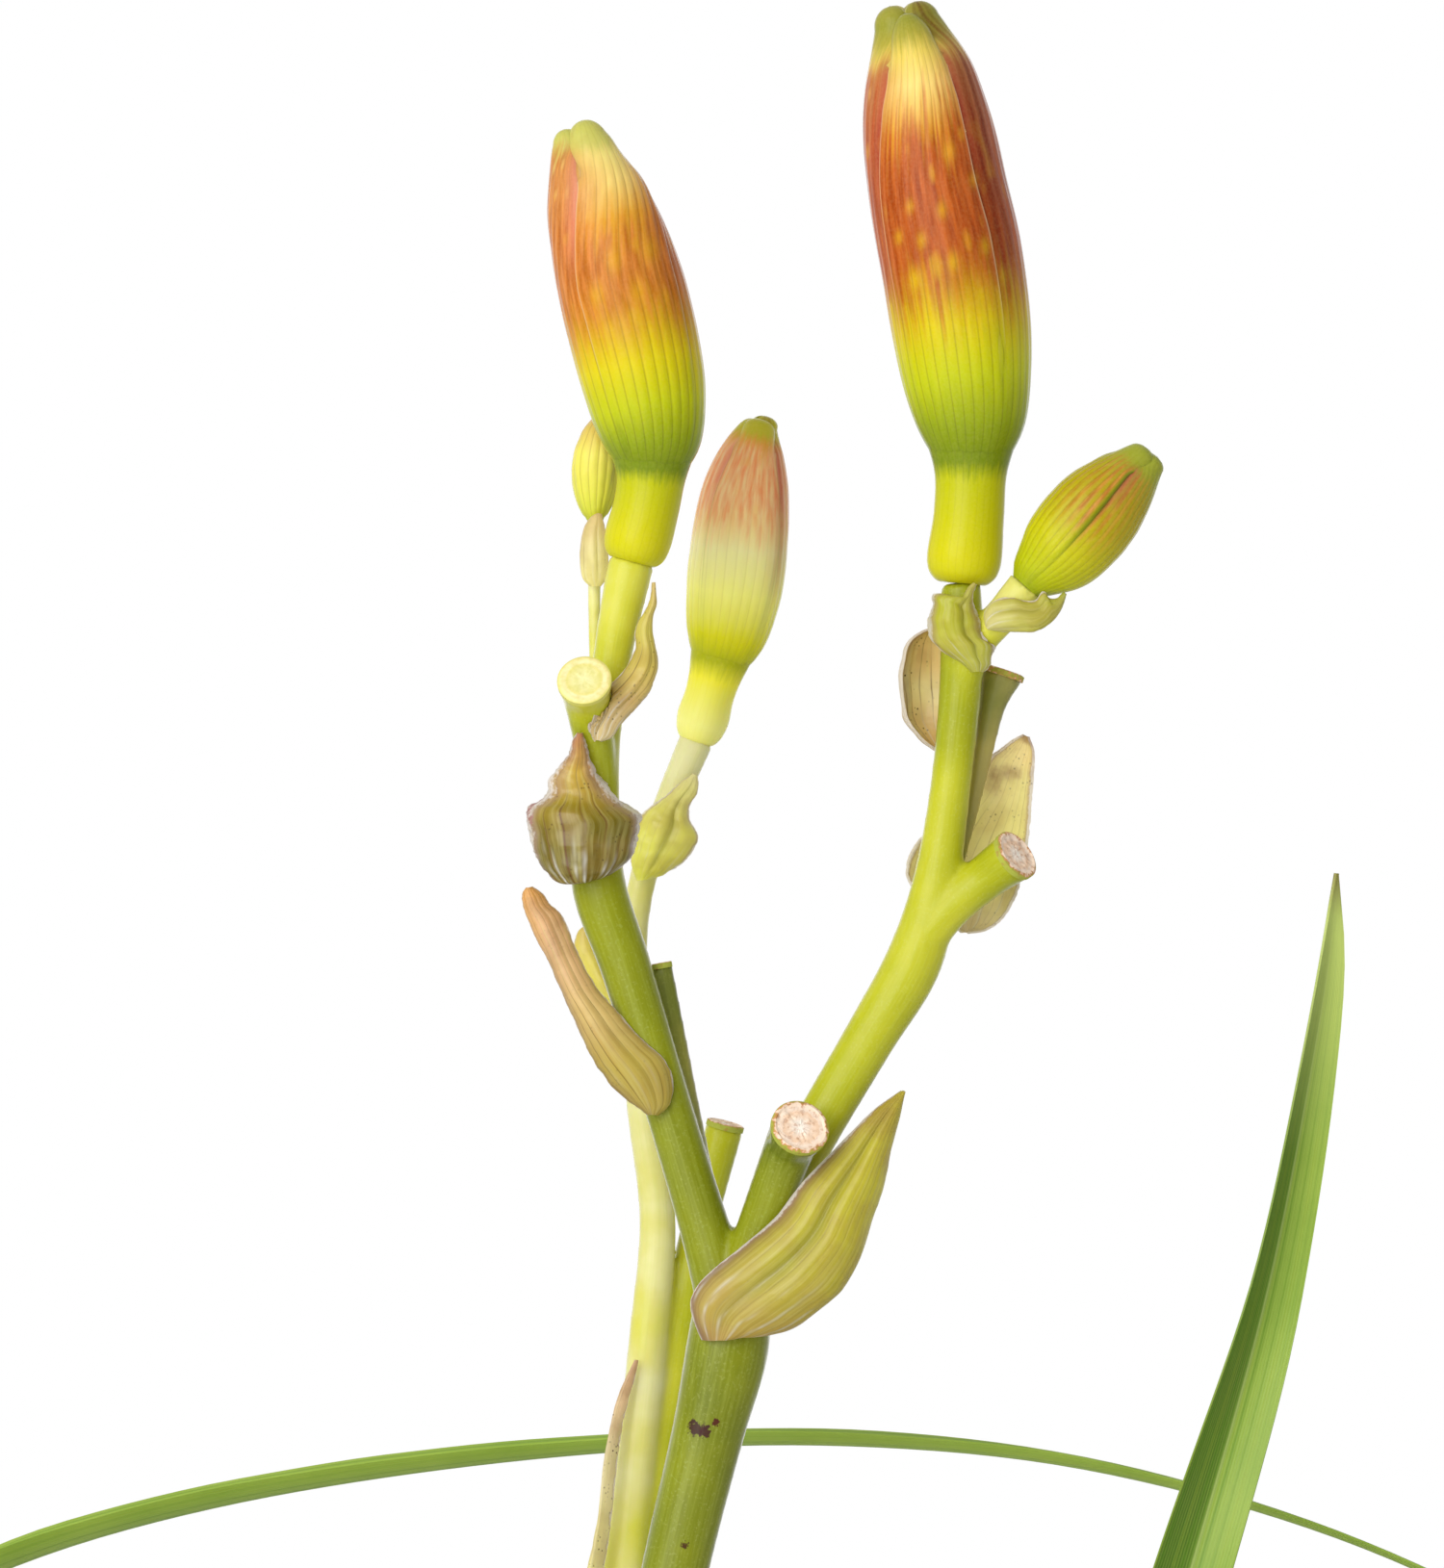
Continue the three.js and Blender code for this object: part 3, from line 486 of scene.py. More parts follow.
# %% Where the leaves grow
CROWN_TOP = 146.5
CROWN_ROOT = 5
KEEL_STEP = 2.5
FANS = {
    "front": {"centre": (-8, -12), "first_keel": 9.2},
    "rear": {"centre": (11, 27), "first_keel": 8.2},
    "left": {"centre": (-33, 54), "first_keel": 5.6},
}
LEAF_FOLDS = [46, 38, 30, 25, 20]
LEAF_SWAY = 14
# Each leaf: fan, way (+1 is right), rank from the inside, length, lean and end from upright, turn,
# and half its greatest width.
LEAVES = [
    ("front", 1, 0, 385, 13, 118, -62, 7.5),
    ("front", 1, 1, 425, 16, 138, -38, 8.5),
    ("front", 1, 2, 340, 21, 156, -14, 8),
    ("front", -1, 0, 400, 6, 122, 66, 7.5),
    ("front", -1, 1, 435, 10, 142, 40, 8.5),
    ("front", -1, 2, 350, 18, 158, 14, 8),
    ("rear", 1, 2, 370, 22, 148, 12, 8.5),
    ("rear", -1, 0, 375, 5, 112, 4, 7),
    ("rear", -1, 1, 380, 15, 150, -3, 8),
    ("left", 1, 1, 375, 13, 136, 66, 8),
    ("left", 1, 2, 310, 22, 154, 40, 7.5),
    ("left", -1, 0, 380, 9, 118, -70, 7),
    ("left", -1, 1, 405, 11, 142, -44, 8.5),
    ("left", -1, 2, 340, 20, 158, -14, 8),
]
# The two lone leaves: x, y, z, half width, fold and twist at each station.
LEAF_UPRIGHT = [
    (19.2, 27, 141.5, 6.3, 46, 0), (44, 29, 205, 7, 42, 18), (76.5, 33, 300, 7, 36, 50),
    (101, 36.5, 372, 6.6, 32, 78), (113.7, 38, 414, 5.9, 30, 92), (123.8, 38, 451.5, 5.1, 30, 122),
    (129.4, 38, 480, 3.9, 30, 128), (132, 38, 496, 2.5, 28, 130), (133.2, 38, 507, 0.3, 25, 130),
]
LEAF_ARCHING = [
    (-27.4, 54, 141.5, 5.8, 46, 0), (-30.5, 54.5, 200, 6.4, 42, 0), (-46, 57, 262, 7, 38, 0),
    (-72, 61, 316, 7.2, 35, 0), (-86, 63.5, 350, 7, 34, 0), (-85, 65, 379, 6.8, 33, 0),
    (-71, 65, 399, 6.5, 32, 0), (-48.7, 65, 410.9, 6.2, 31, 0), (-19, 65, 419.8, 5.7, 30, 0),
    (28, 65, 426.8, 4.8, 28, 0), (68, 65, 428.3, 4, 26, 0), (104, 65, 424.4, 3.4, 20, 0),
    (144.6, 65, 411.9, 2.6, 10, 0), (180, 64, 391.4, 1.6, 8, 0), (203, 63, 367.5, 0.3, 8, 0),
]
print(len(LEAVES) + 2, "leaves in", len(FANS), "fans")


# %% The line of a leaf that follows the rule
def arching_points(fan, way, rank, length, lean, end, turn, power=1.8, pieces=12):
    """Points of a leaf's line: it leaves its fan leaning out, swings round, and arches over."""
    centre, keel = FANS[fan]["centre"], FANS[fan]["first_keel"] + KEEL_STEP * rank
    spot = np.array([centre[0] + way * keel, centre[1], CROWN_TOP - CROWN_ROOT], float)
    points = [spot.copy()]
    for k in range(pieces):
        t = (k + 0.5) / pieces
        off = math.radians(lean + (end - lean) * t**power)
        heading = math.radians((0 if way > 0 else 180) + turn * float(smoothstep(t, 0, 0.4)))
        aim = (math.sin(off) * math.cos(heading), math.sin(off) * math.sin(heading), math.cos(off))
        spot += length / pieces * np.array(aim)
        points.append(spot.copy())
    return points


def leaf_stations(index, leaf):
    """The same six columns as a lone leaf has, worked out for a leaf that follows the rule."""
    points = arching_points(*leaf[:-1])
    base, widest = 6.5, leaf[-1]
    sway = LEAF_SWAY * math.sin(2.4 * index + 1)
    rows = []
    for k, point in enumerate(points):
        t = k / (len(points) - 1)
        body = base + (widest - base) * float(smoothstep(t, 0, 0.35))
        half_width = max(0.3, body * math.sqrt(max(0, 1 - t**3.2)) * (1 - 0.28 * t))
        rows.append((*point, half_width, spread_out(LEAF_FOLDS, t), spread_out([0, 0, sway, 2 * sway], t)))
    return rows


print("the first leaf has", len(leaf_stations(0, LEAVES[0])), "stations")

# %% Grow the leaves
HALF_WIDTH, FOLD, TWIST = 3, 4, 5  # columns of a leaf's line, after x, y and z
LEAF_COLUMNS = 20
LEAF_STEP = 4.0  # mm between the rows of a blade
BLADE = 0.75  # mm thick at the keel
KEEL_ROUND = 0.45  # mm


def grow_leaf(name, stations, side, tone, lighter=0.08, paler=0.4):
    """A keeled blade along its stations, with one half painted lighter than the other as painted light and
    shade, and its end paler, partly as painted light.
    """
    line = Line(stations, side)
    sheet, s, v = add_sheet(name, LEAF_COLUMNS, int(line.length / LEAF_STEP))
    half_width = np.maximum(line.column(HALF_WIDTH, v), 0.25)
    fold, twist = np.radians(line.column(FOLD, v)), np.radians(line.column(TWIST, v))
    reach = np.abs(s) * half_width
    bow = 0.06 * half_width * np.sin(np.abs(s) * np.pi)
    x = np.sign(s) * (reach * np.cos(fold) + bow * np.sin(fold))
    y = (np.sqrt(reach**2 + KEEL_ROUND**2) - KEEL_ROUND) * np.sin(fold) - bow * np.cos(fold)
    # Live leaves ripple a little along their margins, most in the middle of their length.
    ripple = wobble(v * line.length, np.sign(s) * 9, 0.045, seed=tone * 40)
    y = y + 0.5 * ripple * np.abs(s) ** 2 * np.sin(np.pi * v) * np.minimum(1, half_width / 5)
    move_points(sheet, line.place(v, *turned(x, y, twist)) * MM)
    # The tone carries painted light and shade: one half is painted lighter and the other darker, where the
    # fold turns them to and from the light, and the end is painted paler, partly as painted light where the
    # blade turns edge-on.
    store(sheet, "tone", np.clip(tone + lighter * np.tanh(s * 12) + paler * smoothstep(v, 0.62, 0.95), 0, 1))
    body = sheet.vertex_groups.new(name="body")
    for k, share in enumerate(1 - np.abs(s) ** 3):
        body.add([k], float(share), "REPLACE")
    thinner = {"vertex_group": "body", "thickness_vertex_group": 0.35}
    finish_with(sheet, "SOLIDIFY", thickness=BLADE * MM, offset=0, **thinner)
    sheet.vertex_groups.clear()
    cut_level(sheet, CROWN_TOP + 0.3)
    smooth_faces(sheet, 50)
    return place_piece(sheet, name, "leaf", leaf_blade)


leaves = []
for index, leaf in enumerate(LEAVES):
    fan, way, rank = leaf[:3]
    name = f"leaf_{fan}_{'right' if way > 0 else 'left'}_{rank + 1}"
    tone = 0.25 + 0.5 * random.random()
    leaves.append(grow_leaf(name, leaf_stations(index, leaf), (0, way, 0), tone))
leaves.append(grow_leaf("leaf_upright", LEAF_UPRIGHT, (0, 1, 0), tone=0.4, lighter=-0.42, paler=0.12))
leaves.append(grow_leaf("leaf_arching", LEAF_ARCHING, (0, 1, 0), tone=0.97, lighter=0.06))
print(len(leaves), "leaves,", sum(faces_in(leaf) for leaf in leaves), "triangles")

# %% [markdown]
# ## Scapes
#
# A scape is the plant's bare flower stem. It is one grown piece: the branches leave it in smooth
# forks, and where a flower has been cut off a short stub is left with a flat, dry end. Each branch
# is modelled straight, as a disc that is extruded from station to station and scaled at each, then
# laid along its line. Joined and voxel remeshed, the branches melt into one skin with soft crotches,
# which a Boolean union would leave sharp.

# %% Where the branches run
# Each branch is a list of x, y, z and radius, in millimetres.
FRONT_SCAPE = {
    "main": [
        (-9.5, -12, 141.5, 5.3), (-3, -11, 180, 5.2), (14, -7, 265, 4.7), (31, -3, 350, 4.4),
        (39.5, -1, 392, 4.3), (44.5, 0, 417, 4.35), (48.9, 0, 435.3, 4.7), (51.4, 0, 446.3, 5.35),
        (52.1, 0, 453, 4.8),
    ],
    "left": [
        (51.8, 0, 449, 4), (48.6, 0, 460.5, 3.3), (44.6, 0, 473.8, 3.05), (38.1, 0, 495.3, 3.3),
        (34.5, 0, 506.3, 3.5), (34.5, 0, 515.6, 2.8), (35.3, 0, 526, 2.2), (36.5, 0, 536.3, 2.5),
        (38.4, 0, 545.9, 2.9), (38.9, 0, 548, 2.9),
    ],
    "left_stub": [
        (34.6, -0.5, 519.5, 2.3), (34, -2.5, 524.5, 2.6), (33.2, -6, 530.2, 3.1),
        (32.9, -9.5, 532.2, 3.45),
    ],
    "left_strip": [
        (50.6, 1.5, 458, 1.2), (47.6, 2.8, 470, 1.5), (44.8, 3.4, 484, 1.5), (42.7, 3.6, 495.3, 1.4),
    ],
    "small_pedicel": [
        (34.6, 1.2, 518, 1), (34.1, 4.2, 531, 0.8), (33.9, 6, 543, 0.9), (34, 6.8, 553.8, 1.1),
    ],
    "fork_stub": [
        (53, -1, 453.5, 3.2), (56.2, -3, 463.5, 3), (59.4, -6, 472.2, 3.3), (60.6, -9.9, 474.7, 3.75),
    ],
    "right": [
        (52.3, 0, 449, 4), (55.2, 0, 458.5, 3.5), (60.5, 0, 470, 3.25), (69.5, 0, 485.6, 3.35),
        (75.5, 0, 496, 3.7), (78.3, 0, 506, 3), (80.5, 0, 520.6, 2.6), (81.8, 0, 536, 2.8),
        (81.6, 0, 545, 2.6),
    ],
    "right_stub": [
        (75.6, -0.5, 497.5, 3), (80, -0.8, 502.8, 2.8), (84.8, -1.2, 506.9, 2.9),
        (88.5, -4.1, 509.7, 3.35),
    ],
    "dried_stub": [
        (79.5, 1.5, 504, 1.3), (81.4, 3, 510, 1.1), (83.3, 4, 517, 1.1), (84.8, 4.4, 524, 1.35),
        (86, 4.6, 530, 1.9), (87.1, 4.7, 533.4, 2.9),
    ],
    "side_pedicel": [
        (81.7, -0.5, 531, 2), (83.6, -2, 537, 2.2), (87, -3.2, 541, 2.3), (90, -3.6, 544.6, 2.5),
    ],
}
REAR_SCAPE = {
    "rear_main": [
        (11, 27, 141.5, 4.6), (14, 27, 190, 4.5), (21, 28, 270, 4.2), (30, 29.5, 345, 4),
        (35.8, 30, 395, 3.9), (37.6, 30, 414.6, 2.9), (40.8, 30, 445.2, 2.6), (42, 30, 461, 2.4),
        (40.2, 30, 476, 2.3), (38.7, 30, 492, 1.9), (39.6, 30, 504.4, 1.8), (42.9, 30, 514.6, 2),
        (47.2, 30, 524.9, 2.3),
    ],
    "stub": [
        (36.6, 30.5, 398, 2.8), (40.2, 32, 418, 2.7), (44.7, 33, 445, 2.6), (47.8, 33, 461, 2.4),
        (51, 32, 473.3, 2.5),
    ],
}
# How yellow each branch is at its start, past its middle and near its end: 0 is dark olive, 1 pale yellow.
BRANCH_TONES = {
    "main": (0.4, 0.2, 0.22), "left": (0.27, 0.32, 0.8), "left_stub": (0.5, 0.6, 0.8),
    "left_strip": (0.12, 0.12, 0.2), "small_pedicel": (0.95, 0.95, 1.0), "fork_stub": (0.4, 0.35, 0.15),
    "right": (0.5, 0.7, 0.5), "right_stub": (0.7, 0.66, 0.6), "dried_stub": (0.3, 0.4, 0.55),
    "side_pedicel": (0.75, 0.8, 0.9), "stub": (0.55, 0.6, 0.62), "rear_main": (0.9, 0.86, 0.95),
}
DRIED = {"dried_stub": 0.85, "left_strip": 0.5}  # how far a branch has dried to olive and tan
CUT_ENDS = {
    "left_stub": "fresh", "fork_stub": "dry", "right_stub": "dry", "dried_stub": "old",
    "left_strip": "dry", "stub": "dry",
}
RADIUS = 3  # the column of a branch's line, after x, y and z
print(len(FRONT_SCAPE), "branches in front,", len(REAR_SCAPE), "behind")


# %% Model a rod straight, then lay it along its line
def straight_rod(name, stations, sides):
    """A rod up +Z: a disc extruded and scaled at each (height, radius), in millimetres."""
    height, radius = stations[0]
    rod = start_circle(name, sides, radius, height)
    edit_all()
    bpy.ops.mesh.edge_face_add()
    bpy.ops.mesh.select_all(action="SELECT")
    for (before, thick), (height, radius) in zip(stations, stations[1:]):
        bpy.ops.mesh.extrude_region_move(TRANSFORM_OT_translate={"value": (0, 0, (height - before) * MM)})
        grow = radius / thick
        bpy.ops.transform.resize(value=(grow, grow, 1), center_override=(0, 0, height * MM))
    close_edit()
    return rod


def lay_along(piece, line):
    """Bend a straight piece, drawn up +Z from the ground, along a line."""
    straight = points_of(piece) / MM
    move_points(piece, line.place(straight[:, 2] / line.length, straight[:, 0], straight[:, 1]) * MM)
    return piece


def branch_rod(name, points, step=2.0, sides=20):
    line = Line(points)
    shares = np.linspace(0, 1, max(4, int(line.length / step)) + 1)
    stations = [(share * line.length, float(line.column(RADIUS, share))) for share in shares]
    return lay_along(straight_rod(name, stations, sides), line)


print("a branch has a ring each 2 mm")

# %% Melt the branches into one stem
STEM_VOXEL = 0.5  # mm


def nearest_spots(points, spots, block=8192):
    """For each point the number of the spot that is nearest to it, worked out block by block."""
    nearest = np.empty(len(points), int)
    for start in range(0, len(points), block):
        some = points[start : start + block]
        apart = (some**2).sum(1)[:, None] - 2 * some @ spots.T + (spots**2).sum(1)[None]
        nearest[start : start + block] = apart.argmin(1)
    return nearest


def stem_coordinates(piece, branches):
    """For each point: where it lies across and along its nearest branch, and how yellow that is."""
    points = points_of(piece) / MM
    best = np.full(len(points), 1e9)
    grain = np.zeros((len(points), 3))
    weights, tones, dried = np.zeros((3, len(points)))
    for name, branch in branches.items():
        line = Line(branch)
        shares = np.linspace(0, 1, int(line.length) + 2)
        share = shares[nearest_spots(points, line.spots(shares))]
        off = points - line.spots(share)
        gap = np.linalg.norm(off, axis=1) - line.column(RADIUS, share)
        x = (off * line.read(line.across, share)).sum(1)
        y = (off * line.read(line.normal, share)).sum(1)
        along = share * line.length + (off * line.read(line.tangent, share)).sum(1)
        closer = gap < best
        best = np.where(closer, gap, best)
        grain[closer] = np.stack([x, y, along], axis=1)[closer]
        weight = np.exp(-np.maximum(gap, 0) / 0.8)
        weights += weight
        tones += weight * np.interp(share, (0, 0.55, 0.85), BRANCH_TONES[name])
        dried += weight * DRIED.get(name, 0) * smoothstep(share, 0.02, 0.3)
    store(piece, "grain", grain)
    store(piece, "tone", tones / np.maximum(weights, 1e-9))
    store(piece, "dried", dried / np.maximum(weights, 1e-9))


def melt(name, branches):
    """One closed skin over all the branches of a scape."""
    rods = [branch_rod(f"{name}_{part}", points) for part, points in branches.items()]
    stem = join(rods, name)
    finish_with(stem, "REMESH", mode="VOXEL", voxel_size=STEM_VOXEL * MM)
    finish_with(stem, "SMOOTH", factor=0.6, iterations=6)
    finish_with(stem, "DISPLACE", strength=0.06 * MM, mid_level=0)
    cut_level(stem, CROWN_TOP + 0.3)
    stem_coordinates(stem, branches)
    return stem


print("branches are melted together in cells of", STEM_VOXEL, "mm")

# %% The end that a cut leaves
# For each kind of pith, in millimetres: how deep it has sunk, how rough it is, and where its colour
# starts on the stub's side, as a share of the radius; 2 is beyond the last shade.
PITH = {
    "fresh": {"sunk": 0.05, "rough": 0.08, "side": 2.0},
    "dry": {"sunk": 0.2, "rough": 0.22, "side": 2.0},
    "old": {"sunk": 0.2, "rough": 0.22, "side": 0.94},
}


def add_cut_end(name, points, kind):
    """The face that a knife left: a flared rim, and pith that has dried and sunk inside it."""
    line = Line(points)
    pith = PITH[kind]
    radius = float(line.column(RADIUS, 1.0)) * 1.02
    cut = start_circle(name, 48, radius, 0, fill_type="NGON")
    edit_all()
    bpy.ops.mesh.extrude_region_move(TRANSFORM_OT_translate={"value": (0, 0, 0.7 * MM)})
    bpy.ops.mesh.inset(thickness=0.12 * radius * MM, depth=0.06 * radius * MM)
    bpy.ops.mesh.inset(thickness=0.08 * radius * MM, depth=-pith["sunk"] * MM)
    for _ in range(7):
        bpy.ops.mesh.inset(thickness=0.1 * radius * MM)
    close_edit()
    flat = points_of(cut) / MM
    x, y, z = flat.T
    far = np.hypot(x, y)
    rough = wobble(x, y, 2.6, seed=radius) + 0.6 * wobble(x, y, 6, seed=3)
    flat[:, 2] += np.where((z > 0.5) & (far < 0.82 * radius), pith["rough"] * rough, 0)
    store(cut, "from_centre", np.where(flat[:, 2] > 0.35, far / radius, pith["side"]))
    store(cut, "grain", flat)
    tangent, across, normal = (line.read(table, 1.0) for table in (line.tangent, line.across, line.normal))
    end = line.spots(1.0) - 0.35 * tangent
    world = end + flat[:, :1] * across + flat[:, 1:2] * normal + flat[:, 2:] * tangent
    move_points(cut, world * MM)
    smooth_faces(cut, 40)
    return cut


print("a cut end is one of", ", ".join(PITH))

# %% [markdown]
# The skin of a scape is smooth and waxy, with fine pale dots and faint long streaks, so its pattern
# reads the branch's own coordinates: across and along the branch. The cut ends show a tan rim round
# pale, cork-like pith; a fresh cut is still yellow-green. Small dark scars are where insects bit.


# %% Scars and a wet rim, for any finish
def mark_scars(tree, spot, colour, scars):
    """Paint ragged scars over a colour. Each is a place and a size in millimetres, and a shade."""
    for place, size, shade in scars:
        reach = size * MM * 0.6
        off = add(tree, "VectorMath", (spot, [c * MM for c in place]), "Value", operation="DISTANCE")
        ragged = add(tree, "TexNoise", {"Vector": spot, "Scale": 1.6 / reach, "Detail": 3})
        shift = add(tree, "MapRange", (ragged, 0.3, 0.7, -0.6 * reach, 0.6 * reach))
        edge = add(tree, "Math", (off, shift), operation="ADD")
        colour = lay_over(tree, colour, (shade, edge, 0.8 * reach, 1.05 * reach, 0.95, 0.0))
    return colour


def wet_rim(tree, skin, start=0.52, end=0.85):
    """Plant skin is waxed: it mirrors the white behind it along its rim, and hardly at all face on."""
    aside = add(tree, "LayerWeight", {"Blend": 0.5}, "Facing")
    wax = add(tree, "MapRange", (aside, start, end, 0.03, 1.0))
    fill(tree, skin, {"Coat Weight": wax, "Coat Roughness": 0.12, "Coat IOR": 1.7})


print("scars and a wet rim can be added to any finish")

# %% The skin of the scapes
STEM_COLOURS = [
    (0.0, "56641a"),
    (0.15, "727a22"),
    (0.3, "848a1c"),
    (0.45, "93981a"),
    (0.6, "aeb024"),
    (0.75, "c6c438"),
    (0.82, "d0cc50"),
    (0.9, "d6d07c"),
    (1.0, "e2dea8"),
]
# Each scar: where it is, how many millimetres across, and its shade.
STEM_SCARS = [
    ((47.1, -4.5, 435.7), 1.7, "3f1418"), ((48.4, -4.7, 435.3), 1.4, "431519"),
    ((49.8, -4.5, 436.5), 0.9, "521f20"), ((45.3, -3.9, 434.4), 0.45, "4a2c1c"),
    ((45.8, -4.2, 420.5), 0.8, "4f3020"), ((32.0, -2.9, 505.5), 0.55, "2e2415"),
    ((32.4, -3.0, 504.4), 0.5, "2e2415"), ((51.0, -3.9, 461.0), 0.5, "5c6a1c"),
    ((81.9, -3.0, 508.4), 0.8, "6b5a20"), ((83.2, -3.0, 509.3), 0.5, "6b5a20"),
    ((80.6, -3.4, 506.9), 0.5, "7a6a24"),
]


def stem_skin_finish():
    """Waxy stem skin: glossy, slightly see-into, with fine dots, long streaks and a few scars."""
    material, tree, skin = new_finish("stem skin")
    grain = add(tree, "Attribute", out="Vector", attribute_name="grain")
    tone = add(tree, "Attribute", out="Fac", attribute_name="tone")
    dried = add(tree, "Attribute", out="Fac", attribute_name="dried")
    spot = add(tree, "TexCoord", out="Object")
    long_grain = add(tree, "Mapping", {"Vector": grain, "Scale": (2.6, 2.6, 0.06)})
    streaks = add(tree, "TexNoise", {"Vector": long_grain, "Scale": 1, "Detail": 3})
    dots = add(tree, "TexNoise", {"Vector": spot, "Scale": 2.6 / MM, "Detail": 2})
    patches = add(tree, "TexNoise", {"Vector": spot, "Scale": 0.07 / MM, "Detail": 4})
    shift = add(tree, "MapRange", (patches, 0.3, 0.7, -0.11, 0.11))
    warm = add(tree, "Math", (tone, shift), operation="ADD", use_clamp=True)
    green = add(tree, "ValToRGB", [warm], stops=STEM_COLOURS)
    dotted = lay_over(
        tree,
        green,
        ("c2cc62", streaks, 0.4, 0.68, 0.0, 0.16),
        ("d3d98a", dots, 0.56, 0.7, 0.0, 0.12),
    )
    straw = lay_over(tree, linear("787a42"), ("b4a468", patches, 0.35, 0.6))
    colour = add(tree, "Mix", {0: dried, 6: dotted, 7: straw}, **RGBA)
    colour = mark_scars(tree, spot, colour, STEM_SCARS)
    relief = add(tree, "Bump", {"Height": dots, "Strength": 0.12, "Distance": 0.05 * MM})
    streaked = {"Height": streaks, "Strength": 0.3, "Distance": 0.12 * MM, "Normal": relief}
    fill(tree, skin, {"Base Color": colour, "Normal": add(tree, "Bump", streaked)})
    fill(tree, skin, {"Roughness": 0.42, "IOR": 1.46, "Specular IOR Level": 0.35})
    fill(tree, skin, {"Subsurface Weight": 0.25, "Subsurface Scale": 0.8 * MM})
    fill(tree, skin, {"Subsurface Radius": (0.8, 1.0, 0.25)})
    wet_rim(tree, skin)
    return material


stem_skin = stem_skin_finish()
print("stem skin:", len(STEM_COLOURS), "shades and", len(STEM_SCARS), "scars")

# %% The cut pith
DRIED_RINGS = [
    (0.0, "fbf0e4"),
    (0.2, "f8e6d6"),
    (0.42, "f2d6bc"),
    (0.58, "edcaaa"),
    (0.7, "f6e0cc"),
    (0.88, "f0d6bc"),
    (0.95, "c88c58"),
    (1.0, "a8ae48"),
]
FRESH_RINGS = [
    (0.0, "f0eab0"),
    (0.5, "e6de96"),
    (0.64, "e8dc8a"),
    (0.72, "f8e8b0"),
    (0.9, "f5e2a0"),
    (1.0, "d6d06a"),
]


def pith_finish(name, rings, grains, ragged, speck, relief, roughness):
    """Cut pith, in rings of shades that grow ragged, with specks of another shade.

    The grains are a count per millimetre and a detail, the relief a strength and a depth in
    millimetres, and the speck is a shade and the values of the grains where it begins and ends.
    """
    material, tree, face = new_finish(name)
    far = add(tree, "Attribute", out="Fac", attribute_name="from_centre")
    spot = add(tree, "TexCoord", out="Object")
    crumbs = add(tree, "TexNoise", {"Vector": spot, "Scale": grains[0] / MM, "Detail": grains[1]})
    shift = add(tree, "MapRange", (crumbs, 0.3, 0.7, -ragged, ragged))
    ring = add(tree, "Math", (far, shift), operation="ADD")
    colour = add(tree, "ValToRGB", [ring], stops=rings)
    shade, start, end = speck
    colour = lay_over(tree, colour, (shade, crumbs, start, end, 0.0, 0.45))
    bump = add(tree, "Bump", {"Height": crumbs, "Strength": relief[0], "Distance": relief[1] * MM})
    fill(tree, face, {"Base Color": colour, "Normal": bump, "Roughness": roughness})
    return material


# Dried pith is corky, with a tan rim and brown specks. A fresh cut is moist and yellow-green.
dried_pith = pith_finish("dried pith", DRIED_RINGS, (1.5, 4), 0.1, ("a5683c", 0.54, 0.66), (0.6, 0.15), 0.85)
fresh_pith = pith_finish("fresh pith", FRESH_RINGS, (1.3, 3), 0.0, ("cec864", 0.4, 0.65), (0.4, 0.08), 0.4)
print("pith:", dried_pith.name, "and", fresh_pith.name)

# %% Grow the scapes
for node, branches in (("scape_front", FRONT_SCAPE), ("scape_rear", REAR_SCAPE)):
    stem = melt(node, branches)
    smooth_faces(stem, 80)
    stem.data.materials.append(stem_skin)
    cuts = []
    for part, kind in CUT_ENDS.items():
        if part in branches:
            cut = add_cut_end(f"{node}_{part}_cut", branches[part], kind)
            cut.data.materials.append(fresh_pith if kind == "fresh" else dried_pith)
            cuts.append(cut)
    stem = join([stem, *cuts], node)
    place_piece(stem, node, "scape")
    print(node, faces_in(stem), "triangles")
